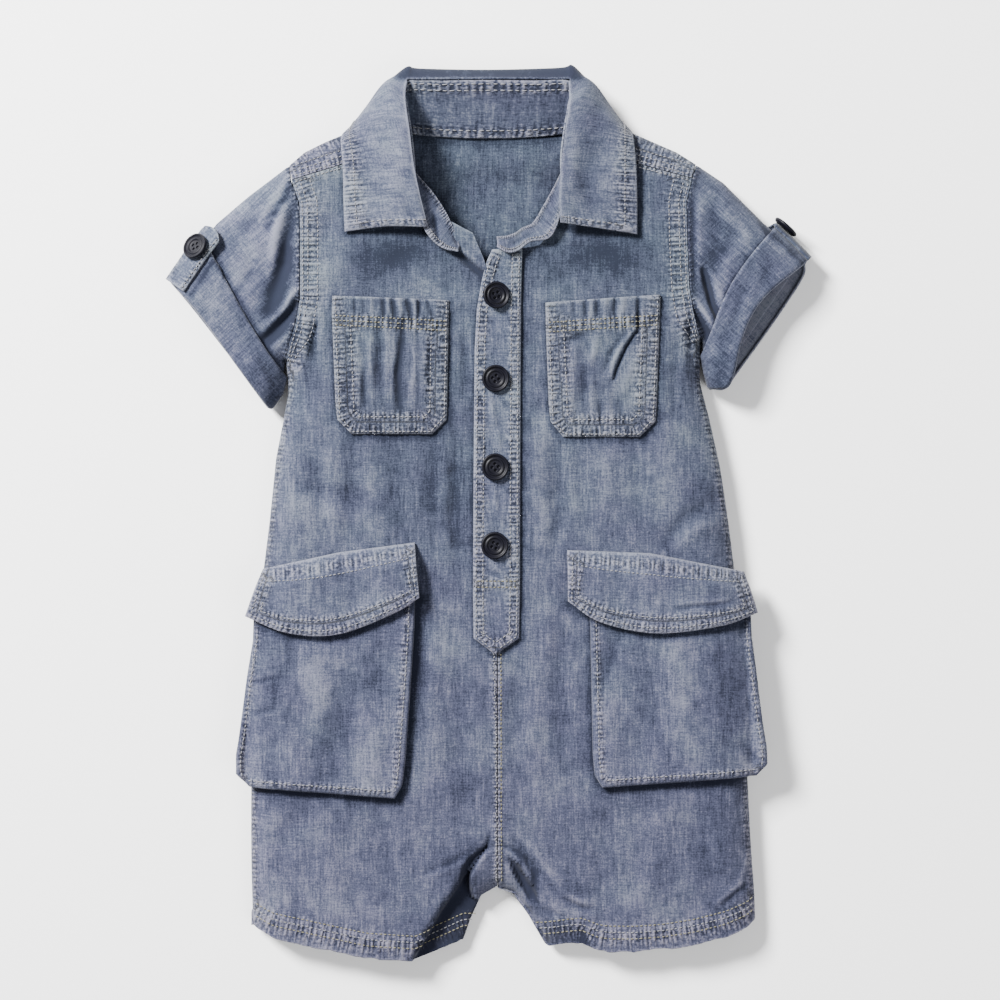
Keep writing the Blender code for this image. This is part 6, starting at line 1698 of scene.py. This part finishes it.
# Cut sizes in metres: width, length and area of each cloth piece. A sleeve, cuff or tab counts its
# cloth all round.
SHEETS = {
    "front_left": (.147, .450, .0545, ["back_left"]), "front_right": (.150, .447, .0536, ["back_right"]),
    "back_left": (.140, .376, .0478, ["floor"]), "back_right": (.145, .372, .0472, ["floor"]),
    "yoke": (.235, .098, .0209, ["floor", "back_left", "back_right"]),
    "sleeve_left": (.225, .075, .0113, ["floor"]), "sleeve_right": (.205, .065, .0090, ["floor"]),
    "cuff_left": (.195, .030, .0050, ["sleeve_left"]), "cuff_right": (.195, .030, .0050, ["sleeve_right"]),
    "tab_left": (.024, .044, .0010, ["cuff_left"]), "tab_right": (.022, .040, .0008, ["cuff_right"]),
    "collar_stand": (.245, .025, .0054, ["yoke", "front_left", "front_right"]),
    "collar_fall": (.305, .048, .0132, ["collar_stand", "front_left", "front_right"]),
    "placket": (.0268, .224, .0057, ["front_left", "front_right"]),
    "chest_pocket_left": (.0655, .079, .0050, ["front_left"]),
    "chest_pocket_right": (.0655, .080, .0050, ["front_right"]),
    "cargo_pocket_left": (.104, .122, .0114, ["front_left"]),
    "cargo_pocket_right": (.104, .118, .0113, ["front_right"]),
    "cargo_flap_left": (.099, .050, .0038, ["cargo_pocket_left"]),
    "cargo_flap_right": (.107, .048, .0042, ["cargo_pocket_right"]),
}
for name, (wide, long, cut, under) in SHEETS.items():
    under = [each if each == "floor" else each + "_cloth" for each in under]

# ---- floor, light and camera -------------------------------------------------
bpy.ops.mesh.primitive_plane_add(size=6, location=(0, 0, 0))
floor = bpy.context.object
floor.name = "floor"
paper, _, paper_shader = new_finish("paper")
paper_shader.inputs["Base Color"].default_value = (.94, .94, .94, 1)
paper_shader.inputs["Roughness"].default_value = .9
floor.data.materials.append(paper)


def area_light(name, place, size, power):
    """A soft square light that looks at the middle of the floor."""
    data = bpy.data.lights.new(name, "AREA")
    data.size = size
    data.energy = power
    lamp = bpy.data.objects.new(name, data)
    bpy.context.scene.collection.objects.link(lamp)
    way = -np.array(place)
    pitch = math.acos(-way[2] / np.linalg.norm(way))
    lamp.location = place
    lamp.rotation_euler = (pitch, 0, math.atan2(way[1], way[0]) - math.pi / 2)


area_light("key", (-1.35, 1.2, 1.4), size=.6, power=285)
area_light("fill", (1.5, -1.0, 2.0), size=1.6, power=50)

world = bpy.data.worlds.new("studio")
bpy.context.scene.world = world
world.use_nodes = True
world.node_tree.nodes["Background"].inputs[0].default_value = (.98, .98, 1, 1)
world.node_tree.nodes["Background"].inputs[1].default_value = .45

PICTURE_WIDE = .55            # metres across the picture
CLOTH_LEVEL = .018            # at this height
FOCAL, SENSOR = 85, 36        # millimetres
lens = bpy.data.cameras.new("camera")
lens.sensor_width = SENSOR
lens.lens = FOCAL
camera = bpy.data.objects.new("camera", lens)
bpy.context.scene.collection.objects.link(camera)
camera.location = (.0063, .0069, PICTURE_WIDE * FOCAL / SENSOR + CLOTH_LEVEL)
bpy.context.scene.camera = camera
